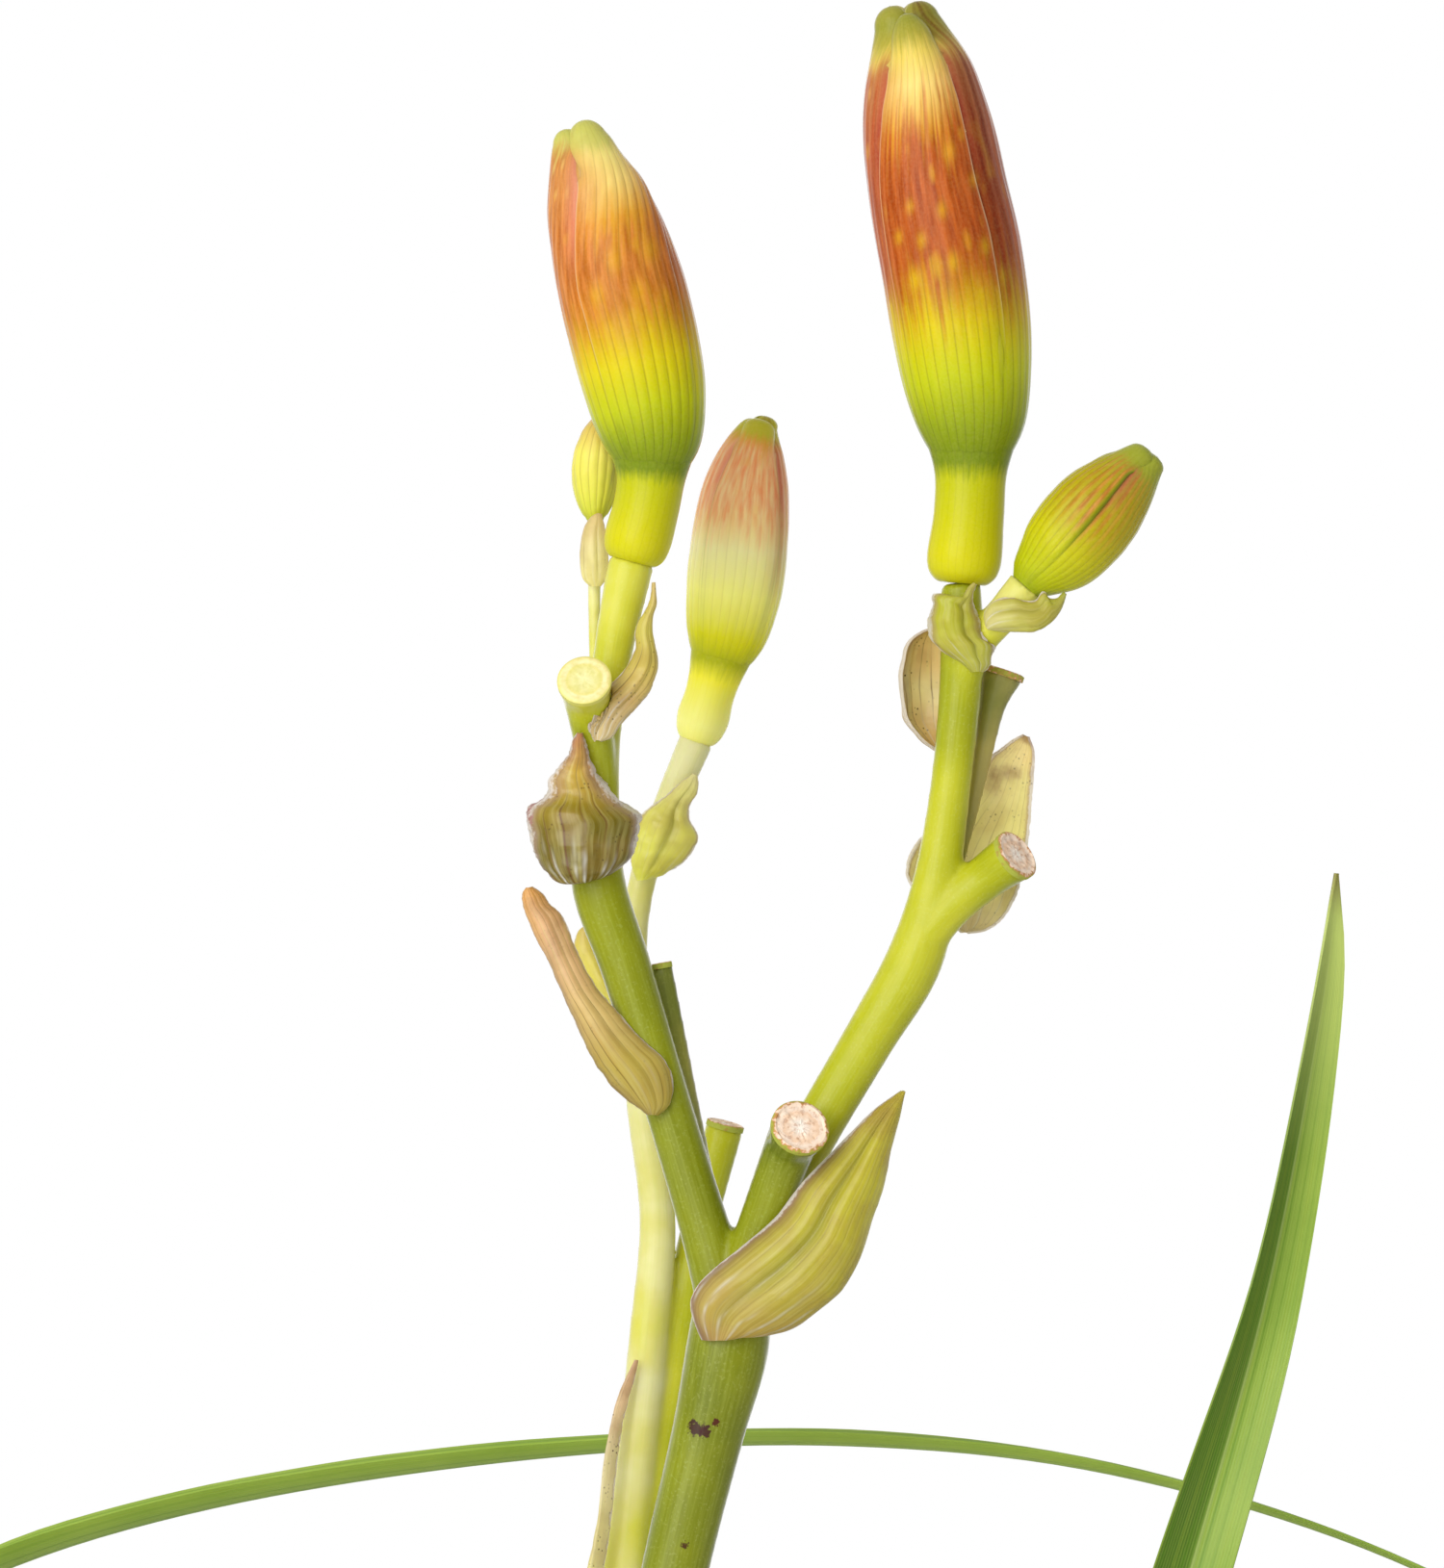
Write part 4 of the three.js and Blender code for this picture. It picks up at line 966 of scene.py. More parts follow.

# %% [markdown]
# ## Buds
#
# A daylily bud is a green tube that widens at a neck into three thick outer petals, called sepals.
# They close over the three inner petals, one sepal with its margins over the other two, and each
# ends in a blunt hood of its own. A single lathed body would lose the seams and the hoods. So the
# tube and the inner body are an extruded rod, and each sepal is a sheet that is wrapped round the
# same line, with shallow grooves where its veins run, and then given its thickness.

# %% Where the buds stand
# Each bud: its line, with x, y, z and radius in millimetres, and the number of the point where its
# tube ends. Then the direction that its front sepal faces, in degrees round from +X, how much further
# its tip is turned, and half its width, in degrees, at even steps from neck to tip. Each sepal's own
# tip is a lobe: how far off the line it lies and how wide it is, as shares of the radius, and how
# slender its dome is; and each hood stands over the line's end by some millimetres. The flush of red
# starts and ends at shares of the way from neck to tip, with a strength; "hood_from" is where the
# green hood begins. A painted shade darkens the bud round one direction, on the side that turns from
# the light, so wide, so strongly, and "flush_beside" keeps the flush near one. Last come the count of
# the front sepal's veins, where its pale margin starts, as a share of its half width, and its skin.
BUDS = {
    "bud_right_large": {
        "line": [
            (81.65, 0, 545, 3.9), (81.9, 0, 547.5, 4.8), (82.6, 0, 554, 4.6), (82.9, 0, 560, 4.85),
            (82.9, 0, 566, 7.2), (82.3, 0, 572.6, 8.5), (81.4, 0, 580, 9), (80.2, 0, 588, 9.1),
            (78.5, 0, 596.6, 8.9), (77.1, 0, 605, 8.2), (76.2, 0, 611, 7), (75.1, 0, 616, 5.3),
            (74.6, 0, 618, 4.5),
        ],
        "neck": 3, "facing": -103, "tip_turn": 12,
        "lobes": [(0.5, 0.5, 0.9), (0.42, 0.56, 0.6), (0.42, 0.56, 0.6)],
        "front": [50, 50, 49, 47, 42, 36, 30], "hoods": [0.3, 1.8, 2.0], "flush": (0.3, 0.82, 1.0),
        "painted_side_shade": (58, 20, 0.85), "veins": 10, "skin": "ripe",
    },
    "bud_left_large": {
        "line": [
            (38.9, 0, 547.8, 3.7), (39.6, 0, 550.4, 4.35), (40.8, 0, 555, 4.3), (41.4, 0, 559.2, 4.6),
            (41.5, 0, 563.6, 6.5), (40.8, 0, 569, 7.7), (39, 0, 577.5, 8.2), (36.7, 0, 586.6, 7.9),
            (34.3, 0, 595, 6.5), (32.8, 0, 600.5, 4.6), (32.2, 0, 602.8, 3.7),
        ],
        "neck": 3, "facing": -82, "tip_turn": 34,
        "lobes": [(0.3, 0.68, 1.0), (0.48, 0.5, 0.5), (0.48, 0.5, 0.6)],
        "front": [45, 48, 49, 50, 51, 53, 54], "hoods": [1.6, 0, 1.1], "flush": (0.38, 0.76, 0.85),
        "painted_side_shade": (52, 16, 0.4), "hood_from": 0.95, "veins": 9, "skin": "ripe, paler",
    },
    "bud_middle": {
        "line": [
            (47.1, 30, 524.6, 2.7), (48, 30, 527.5, 3.5), (49, 30, 531, 3.3), (50, 30, 534.6, 3.8),
            (51.2, 30, 539, 5.4), (52.2, 30, 545, 6.3), (53, 30, 552, 6.3), (53.8, 30, 558.5, 5.6),
            (54.9, 30, 564, 3.9), (55.6, 30, 566.8, 2.5),
        ],
        "neck": 3, "facing": -85, "front": [46, 47, 48, 48, 46, 40, 32], "hoods": [0.3, 0.9, 0.2],
        "flush": (0.5, 0.97, 0.85), "painted_side_shade": (52, 20, 0.6), "veins": 8, "skin": "half ripe",
    },
    "bud_right_small": {
        "line": [
            (89.8, -3.7, 544.5, 2.4), (91.3, -3.7, 546.1, 3.6), (93.6, -3.7, 548.3, 5.2),
            (96.4, -3.7, 551.2, 5.85), (99.7, -3.7, 554.8, 5.6), (103, -3.7, 558.3, 4.2),
            (105.6, -3.7, 561, 2.6),
        ],
        "neck": 0, "facing": -142, "front": [56, 56, 55, 54, 52, 48, 42], "hoods": [0.5, 0.6, 0.4],
        "flush": (0.36, 1.3, 1.0), "flush_beside": (44, 52), "seam": 0.84, "veins": 9, "skin": "green",
    },
    "bud_left_small": {
        "line": [
            (34, 6.8, 553.4, 1.3), (34, 7, 556.4, 2.6), (34.1, 7.2, 560.5, 3.1), (34.6, 7.4, 564.5, 2.4),
            (35.2, 7.6, 567.4, 0.9),
        ],
        "neck": 0, "facing": -95, "front": [48, 50, 52, 52, 50, 44, 36], "hoods": [0.5, 0.5, 0.4],
        "flush": (0.6, 0.9, 0.12), "veins": 5, "skin": "pale green",
    },
}
USUAL_BUD = {
    "tip_turn": 0,
    "lobes": [(0.3, 0.72, 0.5)] * 3,
    "hood_from": 0.88,
    "painted_side_shade": (0, 1, 0),
    "seam": 0.955,
}
SEPAL = {
    "front_proud": 0.32,  # mm that the front sepal stands over the others
    "half_widths": 128,  # degrees, that of the front sepal and of a side one together
    "thickness": 0.5,
    "groove": 0.12,  # mm deep where a vein runs
    "inner_gap": 0.45,  # mm from the sepals in to the inner petals
}
# Gold spots in the flush of the large buds: x, z and size, in millimetres, on the front.
GOLD_SPOTS = {
    "bud_right_large": [
        (74.8, 593.4, 0.5), (76.3, 589.0, 0.6), (80.3, 586.2, 0.7), (83.1, 597.0, 0.6),
        (84.6, 588.4, 0.7), (79.8, 600.5, 0.8), (78.9, 592.9, 0.6), (87.0, 584.6, 0.7),
        (73.4, 589.5, 0.5), (75.5, 584.0, 0.8),
    ],
    "bud_left_large": [
        (35.2, 592.0, 1.2), (36.6, 586.5, 1.1), (41.2, 588.0, 1.1), (34.5, 582.0, 1.0),
        (39.8, 582.4, 1.0),
    ],
}
print(len(BUDS), "buds")


# %% The measures of a bud
def station_share(line, points, index):
    """The share of a line's length at which its point with this index lies."""
    per_stretch = (len(line.rows) - 1) // (len(points) - 1)
    return line.travelled[index * per_stretch] / line.length


def front_width(bud, height):
    """Half the width of the front sepal, in degrees, at a height from neck to tip."""
    return spread_out(bud["front"], height)


def bud_radius(line, share):
    return np.maximum(line.column(RADIUS, share), 0.5)


def degrees_off(degrees_round, middle=0):
    """How far round a bud something is from a direction, from -180 to 180 degrees."""
    return (degrees_round - middle + 180) % 360 - 180


print("a point 350 degrees round is", degrees_off(350), "degrees off the front")


# %% Where a bud is flushed
def flush_of(piece, bud, name, height, vein, degrees_round):
    """How red each point is, from 0 to 1, before the strength of the bud's flush."""
    low, high = bud["flush"][:2]
    hood = bud["hood_from"]
    cell = np.round(vein) + 0.25 * np.sin(9 * vein)
    ragged = 0.09 * wobble(cell * 2.3, height * 4, 1.0, seed=len(name))
    ragged += 0.03 * wobble(cell * 5, height * 17, 1.0)
    flush = smoothstep(height + ragged, low - 0.06, low + 0.2)
    pale_front = np.exp(-((degrees_off(degrees_round) / 42) ** 2))
    flush *= 1 - pale_front * smoothstep(height + 1.6 * ragged, high - 0.14, high + 0.03)
    flush *= 1 - smoothstep(height + 0.4 * ragged, hood, hood + 0.07)
    if "flush_beside" in bud:
        middle, width = bud["flush_beside"]
        flush *= np.exp(-((degrees_off(degrees_round, middle) / width) ** 2))
        flush *= 0.55 + 0.45 * np.sin(2 * np.pi * vein)
    flush *= 1 - 0.55 * smoothstep(wobble(vein * 0.8, height * 14, 1.0, seed=2.5), 0.25, 0.6)
    spot = points_of(piece) / MM
    for x, z, size in GOLD_SPOTS.get(name.rsplit("_sepal")[0], []):
        away = ((spot[:, 0] - x) ** 2 + ((spot[:, 2] - z) / 1.7) ** 2) / size**2
        flush *= 1 - 0.75 * np.exp(-away) * (spot[:, 1] < 0)
    return flush


def colour_bud(piece, bud, name, height, vein, margin, degrees_round):
    """Keep on each point what the finish reads: height, vein, margin, how red it is, and how much painted
    shade it has on one side.
    """
    strength, hood = bud["flush"][2], bud["hood_from"]
    beside = np.abs(degrees_off(degrees_round)) - front_width(bud, height)
    crimson = np.exp(-((np.maximum(beside, 0) / 15) ** 2)) * (beside > -1)
    crimson *= 0.8 * smoothstep(height, 0.55, 0.8) * (1 - smoothstep(height, hood, hood + 0.07))
    # A painted shade: the bud is painted darker round one side, where less light falls.
    middle, width, painted_side_shade = bud["painted_side_shade"]
    painted_shade_share = painted_side_shade * np.exp(-((degrees_off(degrees_round, middle) / width) ** 2))
    painted_shade_share *= smoothstep(height, 0.2, 0.45) * (0.75 + 0.25 * np.sin(2 * np.pi * vein))
    store(piece, "height", height)
    store(piece, "vein", vein)
    store(piece, "margin", margin)
    store(piece, "flush", flush_of(piece, bud, name, height, vein, degrees_round) * strength)
    store(piece, "crimson", crimson * strength)
    store(piece, "painted_shade_share", painted_shade_share)


print("a bud's points keep six numbers for its finish")


# %% The shape of one sepal
def sepal_veins(bud, front, s, half, height, size, own):
    """The number of the vein that a point lies on; between two veins it is a part number."""
    veins = bud["veins"] * (1 if front else 1.5)
    turn, own_turn = np.radians(s * half), np.radians(s * (half + (170 - half) * own))
    # The front sepal's veins run in to its hood, so there they follow the width of the hood.
    reach = (1 - own) * np.sin(turn) + own * size * np.sin(own_turn)
    widest = np.maximum((1 - own) * np.sin(np.radians(half)) + own * size, np.abs(reach))
    sine = np.clip(reach / widest, -1, 1) * np.sin(np.radians(half))
    followed = np.degrees(np.arcsin(sine)) / half
    return (s + (followed - s) * smoothstep(height, 0.8, 0.86) * front) * veins / 2 + 0.5 * front


def sepal_stands(bud, number, s, share, height, vein, radius):
    """How far a point of a sepal stands off the bud's line, in millimetres."""
    front = number == 0
    groove = (np.sqrt(np.abs(np.sin(np.pi * vein))) - 1) * SEPAL["groove"]
    groove *= smoothstep(height, 0.02, 0.2) * (1 - 0.5 * smoothstep(height, 0.85, 1))
    proud = (SEPAL["front_proud"] if front else 0.0) * (0.2 + 0.8 * smoothstep(height, 0.25, 0.6))
    proud += (0.03 if front else 0.05 * (number == 1)) * smoothstep(height, 0.02, 0.18)
    lumps = 0.1 * wobble(s * 2 + 7 * number, share * 9, 1.0, seed=bud["facing"])
    crown = 0.02 * radius * (1 - s**2) * smoothstep(height, 0.1, 0.4)
    sunk = 0.35 * (1 - smoothstep(height, 0.0, 0.07))
    return radius + groove + proud + lumps + crown - sunk


def grow_sepal(name, bud, number, columns, rows):
    """Sepal 0 faces front and lies over the two others."""
    line = Line(bud["line"], (1, 0, 0))
    neck = station_share(line, bud["line"], bud["neck"])
    sheet, s, v = add_sheet(name, columns, rows)
    front = number == 0
    top = 1 + (bud["hoods"][number] + 0.6) / line.length
    share = neck + (top - neck) * (1 - (1 - v) ** 1.25)
    height = (share - neck) / (1 - neck)
    half = front_width(bud, height) if front else SEPAL["half_widths"] - front_width(bud, height)
    own = smoothstep(height, 0.8 if front else 0.86, 1.02)
    turn, own_turn = np.radians(s * half), np.radians(s * (half + (170 - half) * own))
    apart, size, slender = bud["lobes"][number]
    arch = slender * bud["line"][-1][RADIUS] / line.length
    over = np.clip((share - top + arch) / arch, 0, 1)
    dome = np.sqrt(np.maximum(1 - over**2, 0))
    vein = sepal_veins(bud, front, s, half, height, size, own)
    out = sepal_stands(bud, number, s, share, height, vein, bud_radius(line, share))
    # Low down all sepals lie on one circle. Towards the tip each closes on a smaller one of its own.
    common_x, common_y = out * np.cos(turn), out * np.sin(turn)
    own_x = out * (apart + (1 - apart) * dome * np.cos(own_turn))
    own_y = out * size * dome * np.sin(own_turn)
    x, y = common_x + own * (own_x - common_x), common_y + own * (own_y - common_y)
    facing = np.radians(bud["facing"] + 120 * number + bud["tip_turn"] * smoothstep(height, 0.55, 1.0))
    move_points(sheet, line.place(share, *turned(x, y, facing)) * MM)
    margin = smoothstep(np.abs(s), bud["seam"], 0.99) * smoothstep(height, 0.15, 0.5)
    colour_bud(sheet, bud, name, height, vein, margin, np.degrees(turn) + 120 * number)
    select_only(sheet)
    edit_all()
    bpy.ops.mesh.remove_doubles(threshold=0.02 * MM)
    close_edit()
    finish_with(sheet, "SOLIDIFY", thickness=SEPAL["thickness"] * MM, offset=-1)
    return sheet


print("a sepal is", SEPAL["thickness"], "mm thick")

# %% [markdown]
# A bud's skin is waxy and shines softly. It is yellow-green at the neck, then flushed orange and
# brick red, and green again at the hoods. The flush is uneven: it stops at each vein at another
# height, and lighter spots show through it. Where the front sepal meets its neighbours, a crimson
# band shows. The finish reads what was kept on the points and adds fine grain.

# %% The shades of the buds
BUD_SCARS = [
    ((33.6, -5.2, 597.8), 0.5, "4a3418"), ((41.2, -6.6, 592.9), 0.8, "4a2a14"),
    ((42.6, -5.9, 591.1), 0.6, "5a3018"), ((81.9, -7.2, 603.2), 0.28, "f0d890"),
    ((87.2, -6.3, 596.2), 0.28, "f0d890"), ((84.1, -8.0, 595.7), 0.2, "5a2a1a"),
    ((76.7, -8.2, 593.4), 0.8, "e9c08e"), ((40.9, -7.4, 572.2), 0.6, "f4ecb0"),
]
RIPE_SKIN = [
    (-0.5, "a0a800"), (-0.38, "bcbc00"), (-0.2, "cac400"), (-0.03, "b6b800"), (0.01, "748600"),
    (0.09, "8a9a00"), (0.2, "b8be00"), (0.32, "d2c208"), (0.5, "d09a24"), (0.74, "dca034"),
    (0.85, "f0d078"),
]
# Each look: the unflushed skin, by the share of the way from neck to tip, where below 0 it is the
# tube; the dark and the light shade of the flush and the band beside the front sepal; how dark the
# veins are; and the shade of a sepal's margin, with how much it covers. On the ripe buds the pale
# margin is partly a thin membrane and partly a painted highlight along the edge; on the others the
# darker margin is painted shade in the seam where one sepal lies over the next.
BUD_LOOKS = {
    "ripe": {
        "skin": RIPE_SKIN + [(0.92, "dcc45c"), (0.96, "a89e40"), (1.0, "929238"), (1.1, "a49a48")],
        "flush": ("9c4620", "bc602c", "a8443c"),
        "veins": 0.42,
        "margin": ("efe0b4", 0.35),
    },
    "ripe, paler": {
        "skin": RIPE_SKIN + [(0.93, "e6d47c"), (0.97, "c4c064"), (1.1, "b4b458")],
        "flush": ("a85424", "d07c40", "d07c6c"),
        "veins": 0.45,
        "margin": ("efe0b4", 0.35),
    },
    # The half ripe bud stands in the shadow of another bud, and its shades are painted lighter to make up
    # for it: partly its own paler skin and partly painted light.
    "half ripe": {
        "skin": [
            (-0.5, "eee648"), (-0.25, "fff28c"), (-0.06, "f0e840"), (0.02, "aeb200"), (0.12, "d6d208"),
            (0.3, "fff084"), (0.48, "ffecac"), (0.62, "ffd890"), (0.8, "f8b870"), (0.92, "dca048"),
            (0.965, "c0b83c"), (1.1, "b4b830"),
        ],
        "flush": ("f09468", "ffcc98", "e08478"),
        "veins": 0.14,
        "margin": ("8a9420", 0.35),
    },
    "pale green": {
        "skin": [
            (-0.5, "ece690"), (0.0, "c0c63c"), (0.2, "d4d250"), (0.6, "e0d462"), (0.9, "c8ac5c"),
            (1.1, "a89c58"),
        ],
        "flush": ("c8904c", "d8a85c", "c88a60"),
        "veins": 0.4,
        "margin": ("a8a430", 0.35),
    },
    "green": {
        "skin": [
            (-0.5, "cdd640"), (-0.2, "d4d238"), (0.0, "98a408"), (0.1, "b0b600"), (0.3, "beba00"),
            (0.5, "b4ac04"), (0.75, "a89e1c"), (0.9, "9ca034"), (1.1, "949c3c"),
        ],
        "flush": ("a8602c", "c4853b", "b06a4a"),
        "veins": 0.35,
        "margin": ("50700c", 0.75),
    },
}
TUBE_END, TIP_END = -0.5, 1.1  # the heights at which the skin's shades begin and end
print(len(BUD_LOOKS), "looks for", len(BUDS), "buds")


# %% The finish of the buds
def off_veins(tree, vein):
    """How far a point is off its nearest vein: 0 on it, and 1 midway to the next."""
    turn = add(tree, "Math", (vein, math.pi), operation="MULTIPLY")
    wave = add(tree, "Math", [turn], operation="SINE")
    return add(tree, "Math", [wave], operation="ABSOLUTE")


def bud_skin_finish(name, look):
    """Waxy petal skin, green to yellow to brick red, with dark vein lines and a crimson band."""
    material, tree, skin = new_finish(f"bud skin, {name}")
    keys = ("height", "vein", "margin", "flush", "crimson", "painted_shade_share")
    kept = {key: add(tree, "Attribute", out="Fac", attribute_name=key) for key in keys}
    spot = add(tree, "TexCoord", out="Object")
    fine = add(tree, "TexNoise", {"Vector": spot, "Scale": 2.6 / MM, "Detail": 2})
    along = add(tree, "CombineXYZ", (kept["vein"], kept["height"]))
    stretched = add(tree, "Mapping", {"Vector": along, "Scale": (2.2, 9, 1)})
    streaks = add(tree, "TexNoise", {"Vector": stretched, "Scale": 1, "Detail": 4})

    shift = add(tree, "MapRange", (streaks, 0.3, 0.7, -0.014, 0.014))
    level = add(tree, "Math", (kept["height"], shift), operation="ADD")
    scaled = add(tree, "MapRange", (level, TUBE_END, TIP_END))
    stops = [((place - TUBE_END) / (TIP_END - TUBE_END), shade) for place, shade in look["skin"]]
    green = add(tree, "ValToRGB", [scaled], stops=stops)
    dark, light, band = look["flush"]
    brick = lay_over(tree, linear(dark), (light, streaks, 0.36, 0.64))
    flushed = add(tree, "Mix", {0: kept["flush"], 6: green, 7: brick}, **RGBA)
    banded = lay_over(tree, flushed, (band, kept["crimson"]))
    # Painted shade is multiplied in round the side of the bud that turns from the light.
    painted_shade_inputs = {0: kept["painted_shade_share"], 6: banded, 7: linear("a86c50", 1, 0)}
    painted_side_shade = add(tree, "Mix", painted_shade_inputs, **RGBA, blend_type="MULTIPLY")

    # The veins are faint in the flush, low on the tube and at the hoods.
    off_vein = off_veins(tree, kept["vein"])
    faint = add(tree, "MapRange", (kept["flush"], 0.0, 1.0, look["veins"], 0.3 * look["veins"]))
    line = add(tree, "MapRange", (off_vein, 0.0, 0.36, faint, 0.0))
    begun = add(tree, "MapRange", (kept["height"], 0.0, 0.08, 0.25, 1.0))
    closed = add(tree, "MapRange", (kept["height"], 0.85, 0.97, 1.0, 0.3))
    shown = add(tree, "Math", (begun, closed), operation="MULTIPLY")
    vein_share = add(tree, "Math", (line, shown), operation="MULTIPLY")
    dark_vein = {0: vein_share, 6: painted_side_shade, 7: linear("a08a48", 1, 0)}
    veined = add(tree, "Mix", dark_vein, **RGBA, blend_type="MULTIPLY")
    # The margin shade lies along each sepal's edge: partly membrane and partly a painted highlight on the
    # ripe buds, and painted seam shade on the others.
    margin, cover = look["margin"]
    edged = lay_over(
        tree,
        veined,
        ("f0dc9c", fine, 0.35, 0.75, 0.0, 0.05),
        (margin, kept["margin"], 0.0, 1.0, 0.0, cover),
    )
    colour = mark_scars(tree, spot, edged, BUD_SCARS)
    relief = add(tree, "Bump", {"Height": fine, "Strength": 0.15, "Distance": 0.04 * MM})
    fill(tree, skin, {"Base Color": colour, "Normal": relief})
    fill(tree, skin, {"Roughness": 0.42, "IOR": 1.45, "Specular IOR Level": 0.2})
    fill(tree, skin, {"Subsurface Weight": 0.2, "Subsurface Scale": 0.7 * MM})
    fill(tree, skin, {"Subsurface Radius": (1.0, 0.7, 0.2)})
    wet_rim(tree, skin, 0.68, 0.92)
    return material


bud_skins = {name: bud_skin_finish(name, look) for name, look in BUD_LOOKS.items()}
print("bud skins:", ", ".join(bud_skins))


# %% Grow the buds
def body_stations(line, neck, step):
    """Heights and radii of the tube and of the inner petals, with a rounded foot and a domed end."""
    foot = 1.6
    heights = [foot * (1 - math.cos(k * math.pi / 12)) for k in range(6)]
    heights += list(np.linspace(foot, line.length, int(line.length / step) + 1))
    stations = []
    for rise in heights:
        share = rise / line.length
        radius = float(bud_radius(line, share))
        inner = float(smoothstep(share, neck, neck + 0.08)) * SEPAL["inner_gap"]
        inner += 0.7 * float(radius * smoothstep((share - neck) / (1 - neck), 0.9, 1.0))
        narrowed = 0.72 + 0.28 * math.sqrt(1 - (1 - min(1, rise / foot)) ** 2)
        stations.append((rise, (radius - inner) * narrowed))
    end, radius = stations[-1]
    for lift in np.arange(1, 6) / 5 * 1.5:
        stations.append((end + 0.7 * radius * math.sin(lift), max(0.05, radius * math.cos(lift))))
    return stations


def grow_bud(name, bud):
    """The tube with its inner petals, and three sepals round them."""
    line = Line(bud["line"], (1, 0, 0))
    neck = station_share(line, bud["line"], bud["neck"])
    large = line.length > 40
    stations = body_stations(line, neck, 0.9 if large else 0.7)
    body = straight_rod(f"{name}_body", stations, 48 if large else 32)
    straight = points_of(body) / MM
    round_at = np.arctan2(straight[:, 1], straight[:, 0])
    height = (straight[:, 2] / line.length - neck) / (1 - neck)
    ridge = 0.1 * np.cos(3 * (round_at - math.radians(bud["facing"]))) * smoothstep(-height, 0, 0.12)
    straight[:, :2] *= (1 + ridge / np.maximum(np.hypot(straight[:, 0], straight[:, 1]), 1))[:, None]
    move_points(body, straight * MM)
    lay_along(body, line)
    degrees_round = np.degrees(round_at) - bud["facing"]
    vein = degrees_round / 360 * 3 * bud["veins"]
    colour_bud(body, bud, name, height, vein, np.zeros(len(height)), degrees_round)
    pieces, rows = [body], 96 if large else 44
    for number in (2, 1, 0):
        columns = int(bud["veins"] * 5 * (1.5 if number else 1))
        pieces.append(grow_sepal(f"{name}_sepal_{number}", bud, number, columns, rows))
    whole = join(pieces, name)
    smooth_faces(whole, 60)
    return place_piece(whole, name, "bud", bud_skins[bud["skin"]])


for name, own_measures in BUDS.items():
    print(name, faces_in(grow_bud(name, {**USUAL_BUD, **own_measures})), "triangles")
